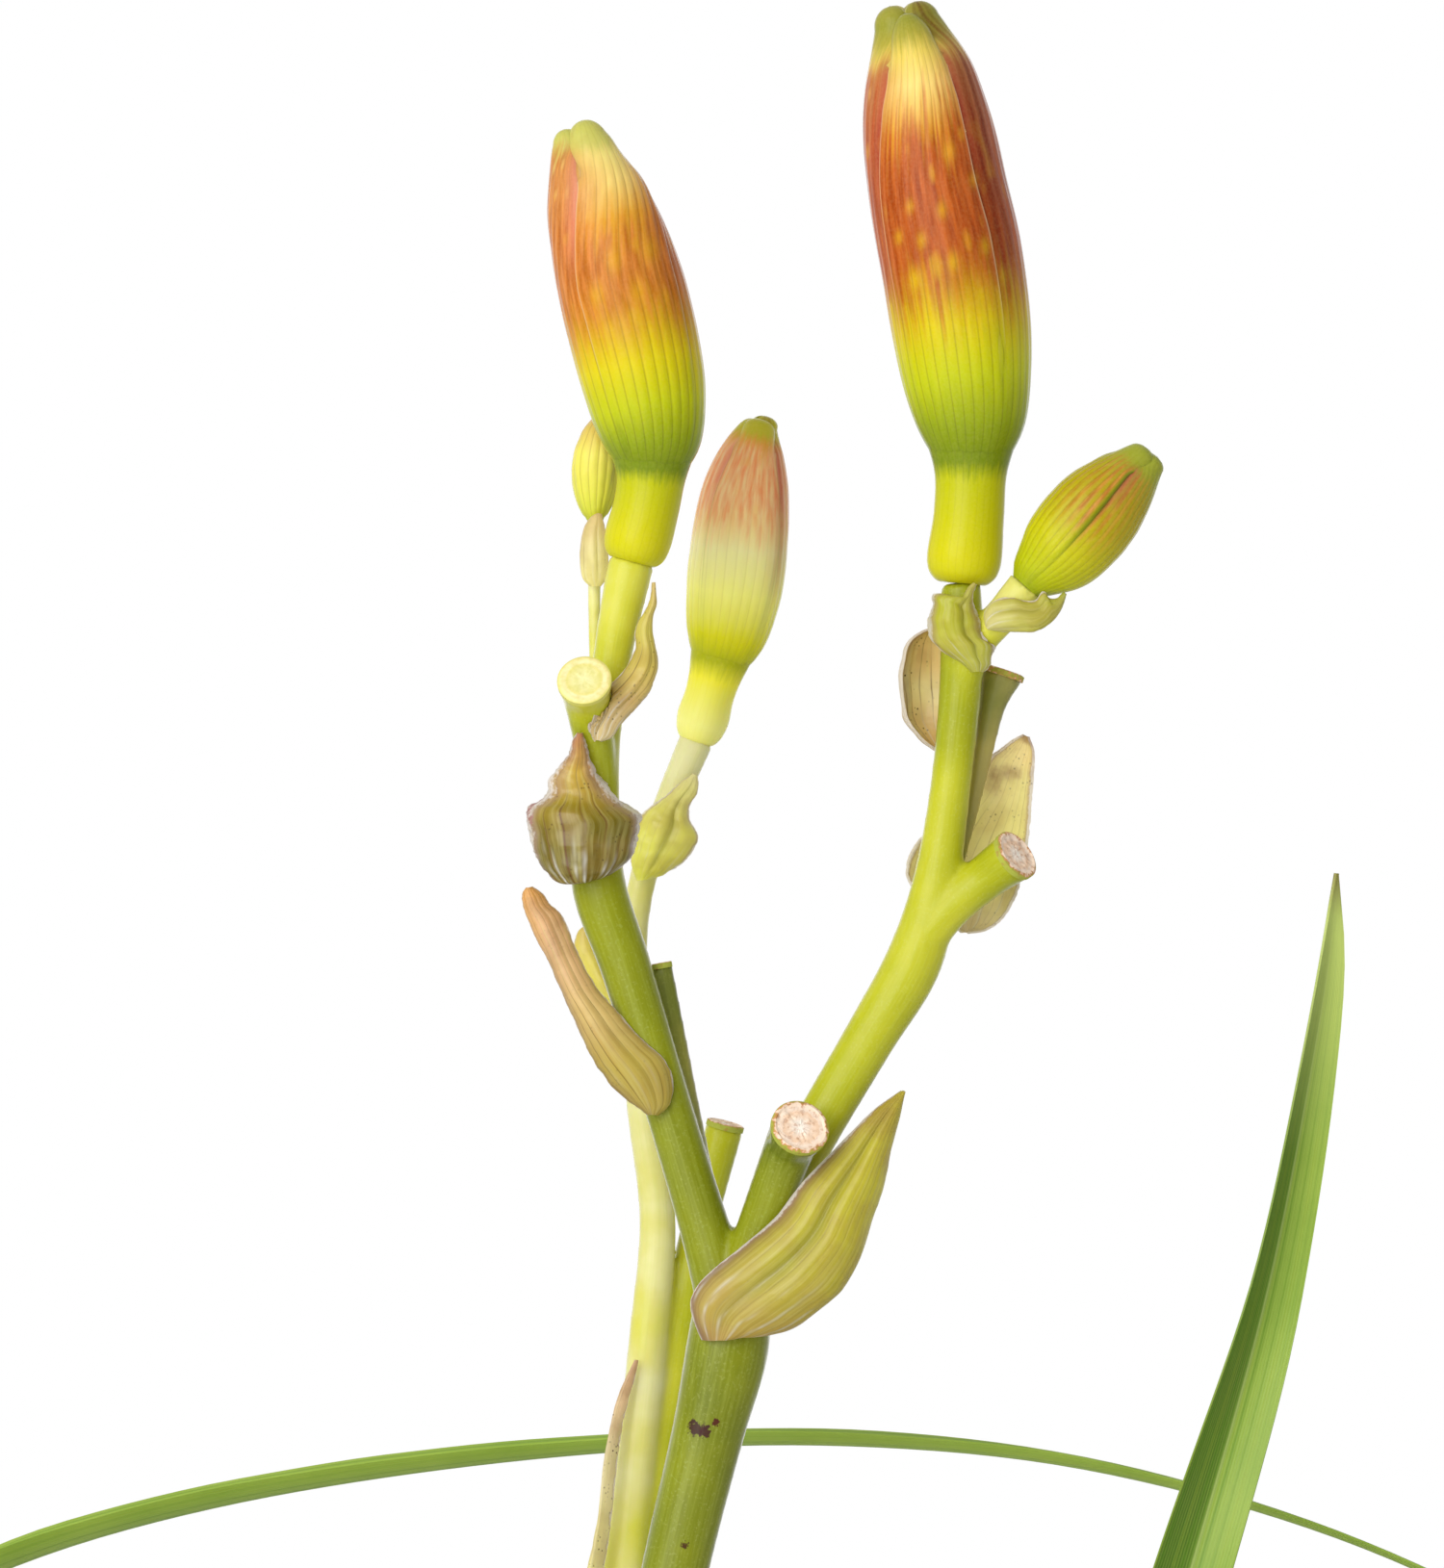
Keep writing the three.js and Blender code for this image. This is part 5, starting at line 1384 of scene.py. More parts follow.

# %% [markdown]
# ## Bracts
#
# A bract is the small papery leaf under each branch and bud. It clasps the stem at its base and opens
# like a boat. It dries from its margins inward, so its middle is yellow-green with brown veins and its
# edges are a thin white membrane, often wavy or torn. Each is a sheet between its two margins, with
# pleats and a ragged margin added by formula, then lifted clear of the stems and given its thickness.
# Since no two bracts dry alike, each is drawn by its own two margins, with a back that swells between.

# %% Where the bracts grow
# Each bract: its left and right margin from base to tip, as x and z in millimetres, and their y at
# even steps, as "depth", and "depth_right" where the right margin has another; the way its back
# swells; how far, as "belly", at even steps; how round it is, in degrees, as "wrap"; its colours at
# even steps; and its habit. The habit says how far its margins wave and tear and its skin crumples;
# how wide its clear margin is, in millimetres, and how many pleats it has; how brown its tip is, how
# speckled it is, how dark its veins are, how strong a painted highlight on its fold crests is, how
# thin it is and how mauve its left edge is, from 0 to 1; where across it is creased, and how deep,
# which also sets the painted shade in the crease; and its veins, as a share of the usual count.
BRACTS = {
    "bract_fork": {
        "left": [
            (48, 447.2), (46.9, 450), (46.6, 451.8), (47, 453.3), (48.4, 455.2), (52.6, 458.8),
            (57.5, 463), (61.2, 467.7), (66.1, 472.7), (70.6, 477), (73.8, 479.2),
        ],
        "right": [
            (53.6, 448), (55.6, 447.8), (57.7, 448.1), (60.3, 449), (63.6, 451.6), (66.1, 453.7),
            (68.4, 458), (70, 463), (71.3, 466.8), (72.2, 470.8), (72.9, 473.6), (73.9, 477.9),
            (74.1, 479.3),
        ],
        "depth": [-5, -6.4, -6.6, -2.6], "depth_right": [-5.4, -5, -4, -2.4],
        "swells": (0.3, -0.93, -0.2), "belly": [1.6, 4.6, 5, 3, 0.8], "wrap": 76,
        "colours": ["b49450", "b8ae38", "c4bc3e", "b8ac38"],
        "habit": {
            "wave": 0.1, "ragged": 0.05, "crumple": 0.12, "membrane": 0.3, "pleats": 3, "tip": 0.25,
            "specks": 0.1, "dark": 0.3, "painted_highlight": 0.5, "crease": (-0.3, 1.1), "rim": 0.9,
        },
    },
    "bract_left_low": {
        "left": [
            (40.9, 476.3), (38.2, 478.3), (35.4, 481.1), (32.8, 485.7), (30.3, 491.1), (27.8, 496.8),
            (25.9, 500.4), (24.8, 503.4), (24.8, 504.8), (25.3, 505.5),
        ],
        "right": [
            (42.4, 476.2), (43.8, 477.6), (44.1, 480.9), (43, 483.4), (41, 485.2), (38.7, 487.5),
            (36.7, 489.9), (34.7, 492.1), (33.3, 494.3), (32, 496.8), (30.6, 500.2), (29.6, 502.2),
            (28.2, 503.4), (27.4, 504.6), (26, 505.6),
        ],
        "depth": [-3.8, -3.4, -2.2, -1], "swells": (-0.2, -0.97, 0), "belly": [0.8, 2.4, 2.4, 1.6, 0.6],
        "wrap": 74, "colours": ["ad9c46", "c4ae54", "dcc080", "dcb488", "e0a860"],
        "habit": {
            "wave": 0.2, "ragged": 0.18, "crumple": 0.1, "membrane": 0.28, "pleats": 2, "tip": 0.3,
            "specks": 0.2, "dark": 0.8, "painted_highlight": 0.15, "crease": (0.25, 0.3), "thin": 0.4, "rim": 0.5,
        },
    },
    "bract_left_cup": {
        "left": [
            (31.7, 506.4), (29.6, 506.4), (27.7, 507.8), (26.4, 510), (25.6, 512.9), (25.2, 515),
            (25.5, 516), (26.9, 516.8), (28, 517.9), (28.3, 519.8), (29.8, 521.6), (30.8, 522.9),
            (31.3, 524.6), (32, 525.6),
        ],
        "right": [
            (34.2, 506.8), (37.2, 508), (39.2, 510.2), (39.9, 512.9), (40.3, 514.8), (39.3, 515.7),
            (37.2, 517), (35.5, 519.3), (34.2, 520.6), (33.5, 522.8), (33, 524.5), (32.6, 525.6),
        ],
        "depth": [-4.2, -2.4, -3.4, -6.4], "swells": (0, -1, -0.1),
        "belly": [2.4, 5.6, 6.6, 5.4, 2.8, 1.4, 0.8], "wrap": 84,
        "colours": ["6c5a1c", "685a10", "726416", "a08a2c", "c0a03c", "b07048"],
        "habit": {
            "wave": 0.9, "ragged": 0.6, "crumple": 0.35, "membrane": 1.3, "pleats": 6, "tip": 0.6,
            "thin": 0.2, "specks": 0.6, "dark": 1.0, "painted_highlight": 0.8, "crease": (0.1, 0), "veins": 0.6,
        },
    },
    "bract_left_high": {
        "left": [
            (34.1, 524.7), (33.6, 526), (33.4, 528), (33.7, 529.5), (35.7, 531.4), (37.7, 533.3),
            (38.9, 535.2), (39.5, 536.8), (39.4, 538.4), (39.7, 539.7), (40.5, 541.1), (41.1, 542.2),
            (41.5, 543.7), (41.6, 545.1),
        ],
        "right": [
            (34.9, 524.6), (36.2, 525), (37.3, 526.5), (38.9, 528.3), (41, 530.7), (42, 533.1),
            (42.3, 534.8), (41.8, 537.1), (41.5, 538.7), (41.6, 540.9), (42, 542.3), (41.9, 543.8),
            (41.8, 545.1),
        ],
        "depth": [-5.4, -5.2, -3.6, -2.6], "swells": (0.25, -0.95, 0), "belly": [1, 2.2, 2.2, 1, 0.5],
        # Its lowest colours are painted lighter, as painted light against the shadow that the stem's end
        # casts on the base of the bract.
        "wrap": 76, "colours": ["dccca0", "d0b070", "ccb85c", "c8bc54", "d4bc78"],
        "habit": {
            "wave": 0.3, "ragged": 0.12, "crumple": 0.2, "membrane": 0.25, "pleats": 3, "tip": 0.1,
            "specks": 0.7, "dark": 0.7, "painted_highlight": 0.8, "crease": (0.2, 0.4),
        },
    },
    "bract_small_bud": {
        "left": [
            (33.5, 544.8), (32.6, 545.7), (32.2, 547.7), (32.3, 550.4), (32.8, 552.6), (33.8, 553.9),
            (34.4, 554.2),
        ],
        "right": [
            (34.7, 544.8), (35.5, 545.9), (35.7, 548.2), (35.5, 550.7), (35.2, 552.6), (34.8, 554.2),
        ],
        "depth": [4, 4, 4.4], "swells": (0, -1, 0), "belly": [0.5, 1.4, 1.4, 0.4], "wrap": 70,
        "colours": ["ecde98", "eedeaa", "e6cf9c"],
        "habit": {
            "wave": 0.1, "ragged": 0.06, "crumple": 0.1, "membrane": 0.2, "pleats": 2, "tip": 0.2,
            "specks": 0.15, "dark": 0.3, "painted_highlight": 0.4, "crease": (0.2, 0.5), "thin": 0.6,
        },
    },
    "bract_right_cup": {
        "left": [
            (83, 533.5), (81.3, 534.9), (78.9, 536.4), (77.6, 537.8), (77.2, 540.3), (77.8, 542.2),
            (77.8, 543.4), (79.6, 543.4), (81.6, 542.9), (82.5, 544.4), (83.1, 544.9),
        ],
        "right": [
            (84.4, 533.5), (85.3, 534.3), (85.4, 535.4), (86, 536.7), (84.9, 537.8), (84.1, 539.9),
            (83.3, 541.8), (83, 543.4), (83.5, 544.8),
        ],
        "depth": [-3.4, -3.6, -4, -4.4], "swells": (-0.1, -1, 0.1), "belly": [1, 2.6, 3.2, 2.4, 0.6],
        "wrap": 70, "colours": ["bcbc54", "c0be44", "b6b834", "d0cc78"],
        "habit": {
            "wave": 0.4, "ragged": 0.3, "crumple": 0.4, "membrane": 0.8, "pleats": 3, "tip": 0,
            "specks": 0.15, "dark": 0.15, "painted_highlight": 0.9, "crease": (0.3, 0.5), "thin": 0.4,
        },
    },
    "bract_side_bud": {
        "left": [
            (84.7, 539.7), (84.5, 540.9), (85.2, 542.2), (86.5, 542.9), (88.2, 543.1), (89.9, 542.6),
            (91.2, 542.8), (92.1, 543.9), (92.7, 543), (93.8, 542.9), (94.8, 543.8),
        ],
        "right": [
            (85.1, 539.2), (86, 538.9), (87.5, 538.7), (89.5, 538.7), (91.8, 539), (93.3, 540.2),
            (94.3, 541.5), (94.8, 542.8), (95, 543.6),
        ],
        "depth": [-5, -6, -5.4], "swells": (0, -0.9, -0.4), "belly": [0.8, 1.6, 1.2, 0.5], "wrap": 66,
        "colours": ["cfc888", "c2be5c", "b0b040", "a8ac4a"],
        "habit": {
            "wave": 0.15, "ragged": 0.12, "crumple": 0.2, "membrane": 0.3, "pleats": 2, "tip": 0.1,
            "specks": 0.1, "dark": 0.15, "painted_highlight": 0.5, "crease": (-0.4, 0.4),
        },
    },
    "bract_right_side": {
        "left": [
            (78.9, 523.1), (76.6, 524.9), (74.9, 527.1), (74.2, 529.8), (73.9, 532.4), (74.2, 535.2),
            (75.1, 537.7), (76.6, 538.8), (77.7, 539.2),
        ],
        "right": [
            (79.9, 523.3), (80.9, 526.6), (81.3, 530.7), (81.1, 534.4), (80.2, 537.2), (78.2, 539.2),
        ],
        "depth": [2.6, 1.6, 1.2, 2.4], "depth_right": [3.4, 4.4, 4.4, 3.2], "swells": (-0.3, 0.95, 0),
        "belly": [1.5, 4, 4.4, 3, 1], "wrap": 88,
        "colours": ["c8a05c", "e2ca8c", "ecdca4", "e2c884", "ccb05c"],
        "habit": {
            "wave": 0.15, "ragged": 0.08, "crumple": 0.3, "membrane": 0.9, "pleats": 3, "tip": 0.2,
            "specks": 1.0, "dark": 1.0, "painted_highlight": 0.6, "crease": (-0.45, 0.6), "thin": 0.4,
        },
    },
    "bract_right_low": {
        "left": [
            (81.7, 499.7), (78.5, 502.1), (75.7, 505), (74.6, 507.3), (75, 509.6), (76.6, 512.1),
            (80.1, 515.4), (83, 517.9), (84.4, 520.1), (85.5, 522.4), (87.3, 523.8), (88.7, 524.8),
            (89.9, 525.4),
        ],
        "right": [
            (82.7, 499.6), (84.8, 499.9), (86.9, 501.3), (88.4, 503.5), (89.3, 505.7), (90.1, 509.3),
            (90.7, 513.6), (90.9, 516.5), (91.2, 519.9), (91.3, 523), (90.7, 525.1),
        ],
        "depth": [3.4, 2.4, 5, 8, 7, 6], "depth_right": [3.4, 2.6, 3.4, 5, 6], "swells": (0.15, 0.98, 0),
        "belly": [1.4, 2.8, 3.0, 2.0, 1.0, 0.5], "wrap": 80,
        "colours": ["ecd8b4", "f6dca0", "fade92", "f8dc98", "f0d090"],
        "habit": {
            "wave": 0.25, "ragged": 0.2, "crumple": 0.2, "membrane": 0.6, "pleats": 3, "tip": 0.9,
            "specks": 0.6, "dark": 0.5, "painted_highlight": 0.4, "crease": (-0.2, 0.1), "thin": 0.5,
        },
    },
    "bract_rear_low": {
        "left": [
            (29.9, 404), (31.4, 409.1), (32.9, 414.8), (34, 419.5), (34.6, 422.5), (35, 426.9),
            (35.4, 430.5), (36, 433.9), (36.9, 437.5), (38.2, 440.5), (39.2, 442.4),
        ],
        "right": [
            (31.5, 404), (33.5, 409), (34.9, 415), (35.8, 420.9), (36.3, 426), (36.8, 430.5),
            (37.4, 434.3), (38.2, 437.5), (39, 440.3), (39.4, 442.4),
        ],
        "depth": [25.6, 25, 25.4, 26.4], "swells": (-0.4, -0.9, 0), "belly": [1, 1.8, 1.8, 1.2, 0.5],
        "wrap": 66, "colours": ["ecdc8c", "f0dfa4", "f2dcb4", "e8c4a0"],
        "habit": {
            "wave": 0.2, "ragged": 0.15, "crumple": 0.3, "membrane": 0.3, "pleats": 2, "tip": 0.3,
            "specks": 1.0, "dark": 0.5, "painted_highlight": 0.3, "crease": (0.2, 0.3), "thin": 0.5,
        },
    },
    "bract_rear_high": {
        "left": [
            (36.5, 488.6), (34.6, 490.2), (32.7, 492.9), (31.4, 495.6), (30.9, 497.6), (31.5, 499.3),
            (32.6, 500.2),
        ],
        "right": [(38.3, 489.4), (37.8, 492.5), (36.7, 495.1), (35.3, 497.4), (34, 499.3), (33, 500.2)],
        "depth": [27, 26.6, 27], "swells": (-0.3, -0.95, 0), "belly": [0.8, 1.6, 1.2, 0.4], "wrap": 66,
        "colours": ["d8d050", "dcd260", "d4c060"],
        "habit": {
            "wave": 0.2, "ragged": 0.1, "crumple": 0.15, "membrane": 0.25, "pleats": 2, "tip": 0.2,
            "specks": 0, "dark": 0.1, "painted_highlight": 0.3, "crease": (0.2, 0.3),
        },
    },
    "bract_rear_cup": {
        "left": [
            (39.1, 506.1), (38.5, 508.9), (38.7, 512), (39.6, 514.5), (41.3, 516.1), (43.3, 517.6),
            (45, 519.1), (46.7, 520.3),
        ],
        "right": [
            (41.2, 506.5), (43.2, 507.2), (45.4, 508.6), (46.8, 510.3), (47.4, 512.2), (46.3, 514.1),
            (46.3, 516.1), (47.4, 518.1), (47.3, 520),
        ],
        "depth": [27, 26, 26, 27], "swells": (0, -1, 0), "belly": [1, 2.4, 2.4, 1.2, 0.5], "wrap": 70,
        "colours": ["dcdc54", "e0de60", "e4e07c", "e6e0a0"],
        "habit": {
            "wave": 0.4, "ragged": 0.25, "crumple": 0.5, "membrane": 0.45, "pleats": 3, "tip": 0.1,
            "specks": 0, "dark": 0.1, "painted_highlight": 0.5, "crease": (0.1, 0.7),
        },
    },
}
USUAL_HABIT = {"thin": 0.3, "rim": 0, "veins": 1}
STEM_LINES = [Line(points) for branches in (FRONT_SCAPE, REAR_SCAPE) for points in branches.values()]
print(len(BRACTS), "bracts round", len(STEM_LINES), "branches")


# %% Keep a sheet out of the stems
def lift_off_stems(points, gap):
    """Move points that lie in a stem, or closer to it than a gap, straight out to that gap."""
    for line in STEM_LINES:
        near = np.linalg.norm(points[:, None] - line.rows[None, ::6, :3], axis=2).min(axis=1) < 12
        if not near.any():
            continue
        shares = np.linspace(0, 1, int(line.length * 2) + 2)
        spots = line.spots(shares)
        close = points[near]
        nearest = np.linalg.norm(close[:, None] - spots[None], axis=2).argmin(axis=1)
        off = close - spots[nearest]
        past_end = (off * line.read(line.tangent, shares[nearest])).sum(axis=1)
        distance = np.linalg.norm(off, axis=1)
        wanted = line.column(RADIUS, shares[nearest]) + gap
        inside = (distance < wanted) & (np.abs(past_end) < 0.5 * wanted)
        close[inside] += off[inside] / distance[inside, None] * (wanted - distance)[inside, None]
        points[near] = close
    return points


print("bracts are kept clear of", round(sum(line.length for line in STEM_LINES)), "mm of stem")

# %% [markdown]
# Dry bract tissue is like tracing paper: light from behind shines through it, so the finish mixes in a
# translucent shader, and more of it at the membrane margins, which are almost clear. Its veins follow
# the sheet's own v direction, and the dark specks are spots where insects or damp marked it.

# %% The finish of the bracts
BRACT_SCARS = [
    ((26.4, -3.2, 515.9), 1.6, "c08c84"), ((25.7, -3.0, 514.9), 1.4, "b88078"),
    ((27.2, -3.4, 516.5), 1.0, "c4948c"), ((26.2, -4.6, 514.4), 1.2, "b07c70"),
    ((33.0, -8.6, 516.9), 0.9, "2e1d0e"), ((32.9, -8.8, 515.9), 0.6, "2e1d0e"),
    ((38.6, -6.0, 477.7), 1.0, "4a2c16"), ((65.2, -7.2, 456.2), 1.1, "4a3018"),
    ((65.0, -7.2, 454.9), 0.8, "4a3018"), ((59.8, -8.0, 457.6), 0.4, "3c2a14"),
    ((54.6, -6.8, 451.6), 0.6, "4a3a18"), ((37.3, -5.6, 494.7), 0.5, "8a5c44"),
]


def bract_veins(tree, kept, along):
    """Where brown veins show, each with its own strength, and how far a point is off its vein."""
    off_vein = off_veins(tree, kept["vein"])
    line = add(tree, "MapRange", (off_vein, 0.0, 0.3, 1.0, 0.0))
    chosen_at = add(tree, "Mapping", {"Vector": along, "Scale": (0.9, 1.6, 1)})
    chosen = add(tree, "TexNoise", {"Vector": chosen_at, "Scale": 1, "Detail": 2})
    strong = add(tree, "MapRange", (chosen, 0.42, 0.62, 0.15, 1.0))
    darkness = add(tree, "Math", (line, strong), operation="MULTIPLY")
    return add(tree, "Math", (darkness, kept["dark"]), operation="MULTIPLY"), off_vein


def bract_specks(tree, kept, spot):
    """Where dark specks show: in crowds, 0.7 mm apart."""
    dots = add(tree, "TexVoronoi", {"Vector": spot, "Scale": 1.5 / MM, "Randomness": 1.0})
    dot = add(tree, "MapRange", (dots, 0.12, 0.26, 1.0, 0.0))
    patch = add(tree, "TexNoise", {"Vector": spot, "Scale": 0.42 / MM, "Detail": 2})
    crowd = add(tree, "MapRange", (patch, 0.5, 0.62))
    dotted = add(tree, "Math", (dot, crowd), operation="MULTIPLY")
    return add(tree, "Math", (dotted, kept["specks"]), operation="MULTIPLY")


def bract_finish():
    """Papery tissue: yellow-green to tan, brown veins, white margins, brown tip, dark specks, painted shade
    in its crease and a painted highlight on its fold crests.
    """
    material, tree, skin = new_finish("papery bract")
    keys = ("tip", "specks", "dark", "thin", "vein", "margin", "crease", "painted_highlight", "rim")
    kept = {key: add(tree, "Attribute", out="Fac", attribute_name=key) for key in keys}
    body = add(tree, "Attribute", out="Vector", attribute_name="body")
    up = add(tree, "SeparateXYZ", [add(tree, "UVMap")], "Y")
    spot = add(tree, "TexCoord", out="Object")
    blotch = add(tree, "TexNoise", {"Vector": spot, "Scale": 0.26 / MM, "Detail": 4})
    fine = add(tree, "TexNoise", {"Vector": spot, "Scale": 2.4 / MM, "Detail": 2})
    along = add(tree, "CombineXYZ", (kept["vein"], up))
    lined = add(tree, "Mapping", {"Vector": along, "Scale": (3.1, 2.2, 1)})
    streaks = add(tree, "TexNoise", {"Vector": lined, "Scale": 1, "Detail": 3})
    vein_share, off_vein = bract_veins(tree, kept, along)
    frayed = add(tree, "MapRange", (fine, 0.3, 0.7, -0.12, 0.12))
    edge_at = add(tree, "Math", (kept["margin"], frayed), operation="ADD")
    shift = add(tree, "MapRange", (blotch, 0.3, 0.7, -0.22, 0.22))
    brown_at = add(tree, "Math", (up, shift), operation="ADD")
    brown = add(tree, "MapRange", (brown_at, 0.8, 1.1))
    brown_share = add(tree, "Math", (brown, kept["tip"]), operation="MULTIPLY")

    # Margins turn mauve-brown or pinkish tan, then to clear white membrane at the very edge.
    colour = lay_over(
        tree,
        body,
        ("b48f50", blotch, 0.4, 0.66, 0.0, 0.3),
        # Painted shade: dark olive laid into the crease of the fold.
        ("6e7424", kept["crease"], 0.0, 1.0, 0.0, 0.45),
        ("e4dc8e", streaks, 0.45, 0.7, 0.0, 0.35),
        ("6e4822", vein_share),
        ("8e6c58", kept["rim"]),
        ("b08c78", kept["margin"], 0.0, 0.3, 0.0, 0.5),
        ("f6efe8", edge_at, 0.4, 0.65, 0.0, 0.85),
        ("8d5a38", brown_share),
        ("3c2614", bract_specks(tree, kept, spot)),
    )
    colour = mark_scars(tree, spot, colour, BRACT_SCARS)
    # A painted highlight: near-white along the crests of the folds, where they catch the light.
    colour = lay_over(tree, colour, ("fbf6ee", kept["painted_highlight"]))
    grain = add(tree, "Bump", {"Height": fine, "Strength": 0.2, "Distance": 0.05 * MM})
    veined = {"Height": off_vein, "Strength": 0.35, "Distance": 0.12 * MM, "Normal": grain}
    relief = add(tree, "Bump", veined)
    fill(tree, skin, {"Base Color": colour, "Normal": relief, "Roughness": 0.42, "IOR": 1.45})
    fill(tree, skin, {"Coat Weight": 0.3, "Coat Roughness": 0.2})
    # Light from behind crosses both faces of the sheet, and takes half of the colour from each.
    halved = add(tree, "Gamma", {"Color": colour, "Gamma": 0.5})
    glow = add(tree, "BsdfTranslucent", {"Color": halved, "Normal": relief})
    share = add(tree, "MapRange", (kept["margin"], 0.4, 1.0, kept["thin"], 0.7))
    both = add(tree, "MixShader", (share, skin.outputs[0], glow))
    fill(tree, tree.nodes["Material Output"], {"Surface": both})
    return material


papery_bract = bract_finish()
print("bract finish:", len(papery_bract.node_tree.nodes), "nodes")


# %% The shape of one bract
def edge_line(points, depth):
    """A smooth margin through its x and z, while its y runs evenly through the depths."""
    flat = np.array(points, float)
    walked = np.concatenate([[0], np.cumsum(np.hypot(*np.diff(flat, axis=0).T))])
    return Line(np.column_stack([flat[:, 0], spread_out(depth, walked / walked[-1]), flat[:, 1]]))


def lay_bract(sheet, bract, habit, s, v, length, seed, edges):
    """Bend a sheet between its margins, with its pleats, crease and waves; returns what the colours need."""
    first, second = (edge.spots(v) for edge in edges)
    middle, reach = (first + second) / 2, (second - first) / 2
    half = np.maximum(np.linalg.norm(reach, axis=1), 0.05)
    swells = np.array(bract["swells"]) / np.linalg.norm(bract["swells"])
    wrap = math.radians(bract["wrap"])
    turn = s * wrap
    along, side = v * length, np.sign(s) * 5
    tear = np.abs(wobble(along, side, 0.9, seed)) + 0.6 * np.abs(wobble(along, side, 2.7, seed + 3))
    inward = np.minimum(habit["ragged"] * tear * np.abs(s) ** 6 / half, 0.4)
    chord = np.sin(turn) / math.sin(wrap) * (1 - inward)
    bulge = spread_out(bract["belly"], v) * (np.cos(turn) - math.cos(wrap)) / (1 - math.cos(wrap))

    crease_at, crease_deep = habit["crease"]
    grown = np.sin(np.pi * np.clip(v, 0, 1))
    crease = np.exp(-(((s - crease_at) / 0.13) ** 2)) * grown**0.7
    pleat_phase = np.pi * habit["pleats"] * s + 0.7 * wobble(v, s * 0, 3, seed)
    pleat = 0.1 * np.cos(pleat_phase) * grown * np.minimum(1, half / 2)
    pleat *= 1 - 0.75 * smoothstep(v, 0.25, 0.55)
    crumple = wobble(along, s * half, 0.3, seed + 20) + 0.35 * wobble(along, s * half, 0.9, seed)
    crumple *= habit["crumple"] * np.minimum(1, half / 2)
    wave = habit["wave"] * 2 * wobble(along, side, 0.4, seed + 9) * np.abs(s) ** 3 * np.minimum(1, half / 2)
    lift = pleat + crumple + wave - crease_deep * crease * np.minimum(1, half / 3)
    normal = swells * np.cos(turn)[:, None] + reach / half[:, None] * np.sin(turn)[:, None]
    points = middle + reach * chord[:, None] + swells * bulge[:, None]
    points += normal * (lift * (1 - s**6))[:, None] + swells * (wave * s**6)[:, None]
    move_points(sheet, lift_off_stems(points, 0.28) * MM)
    return half, crease * min(1.0, crease_deep), pleat_phase


# %% Where a bract is dry, dark and shiny
BRACT_GAIN = 0.78  # what a thin sheet gives back of the light that falls on it


def colour_bract(sheet, bract, habit, s, v, length, seed, half, crease, pleat_phase):
    """Keep on each point what the finish reads."""
    along, side = v * length, np.sign(s) * 5
    reach_in = half * (1 - np.abs(s)) + 0.12 * wobble(along, side, 1.3, seed + 5)
    clear = habit["membrane"] * (0.35 + 0.65 * smoothstep(v, 0.15, 0.45)) * np.minimum(1, half / 4)
    store(sheet, "margin", np.clip(1 - reach_in / (2.5 * clear), 0, 1))
    vein_count = half.max() * 0.9 * habit["veins"]
    store(sheet, "vein", s * vein_count + 0.15 * wobble(v * 3, s * 2, 1, seed))
    shades = np.array([linear(shade, BRACT_GAIN)[:3] for shade in bract["colours"]])
    drift = np.clip(v + 0.1 * wobble(along, s * 3, 0.25, seed), 0, 1)
    store(sheet, "body", np.stack([spread_out(channel, drift) for channel in shades.T], axis=1))
    # The crease also carries painted shade: the finish darkens the fold with it.
    store(sheet, "crease", crease)
    # A painted highlight lies along the crests of the pleats, low on the sheet.
    crest = np.clip(np.cos(2.2 * pleat_phase + wobble(along, s, 0.3, seed)), 0, 1) ** 10
    crest *= smoothstep(wobble(along * 0.4, s * half, 0.5, seed + 31), -0.5, 0.1)
    store(sheet, "painted_highlight", habit["painted_highlight"] * crest * smoothstep(-v, -0.42, -0.12))
    rim = np.exp(-((reach_in / 1.3) ** 2)) * (s < 0) * smoothstep(-v, -0.95, -0.6)
    store(sheet, "rim", habit["rim"] * rim)
    for key in ("tip", "specks", "dark", "thin"):
        store(sheet, key, np.full(len(v), habit[key]))


print("a bract gives back", BRACT_GAIN, "of the light")


# %% Grow the bracts
def grow_bract(name, bract):
    """A papery sheet between its two margins."""
    habit = {**USUAL_HABIT, **bract["habit"]}
    depth = bract["depth"]
    edges = edge_line(bract["left"], depth), edge_line(bract["right"], bract.get("depth_right", depth))
    length = max(edge.length for edge in edges)
    seed = length + bract["left"][0][0]
    sheet, s, v = add_sheet(name, 44, int(length * 3.2) + 16)
    shape = lay_bract(sheet, bract, habit, s, v, length, seed, edges)
    colour_bract(sheet, bract, habit, s, v, length, seed, *shape)
    finish_with(sheet, "SOLIDIFY", thickness=0.28 * MM, offset=0)
    smooth_faces(sheet, 60)
    return place_piece(sheet, name, "bract", papery_bract)


print(sum(faces_in(grow_bract(name, bract)) for name, bract in BRACTS.items()), "triangles in the bracts")

# %% [markdown]
# ## Crowns
#
# At the soil each fan of leaves and scapes grows out of a crown, where the white bases of old leaves
# overlap like the layers of a leek and dry to straw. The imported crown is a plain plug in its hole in
# the soil. Its finer piece is an upright oval body with the wrapped sheaths pressed into its wall.


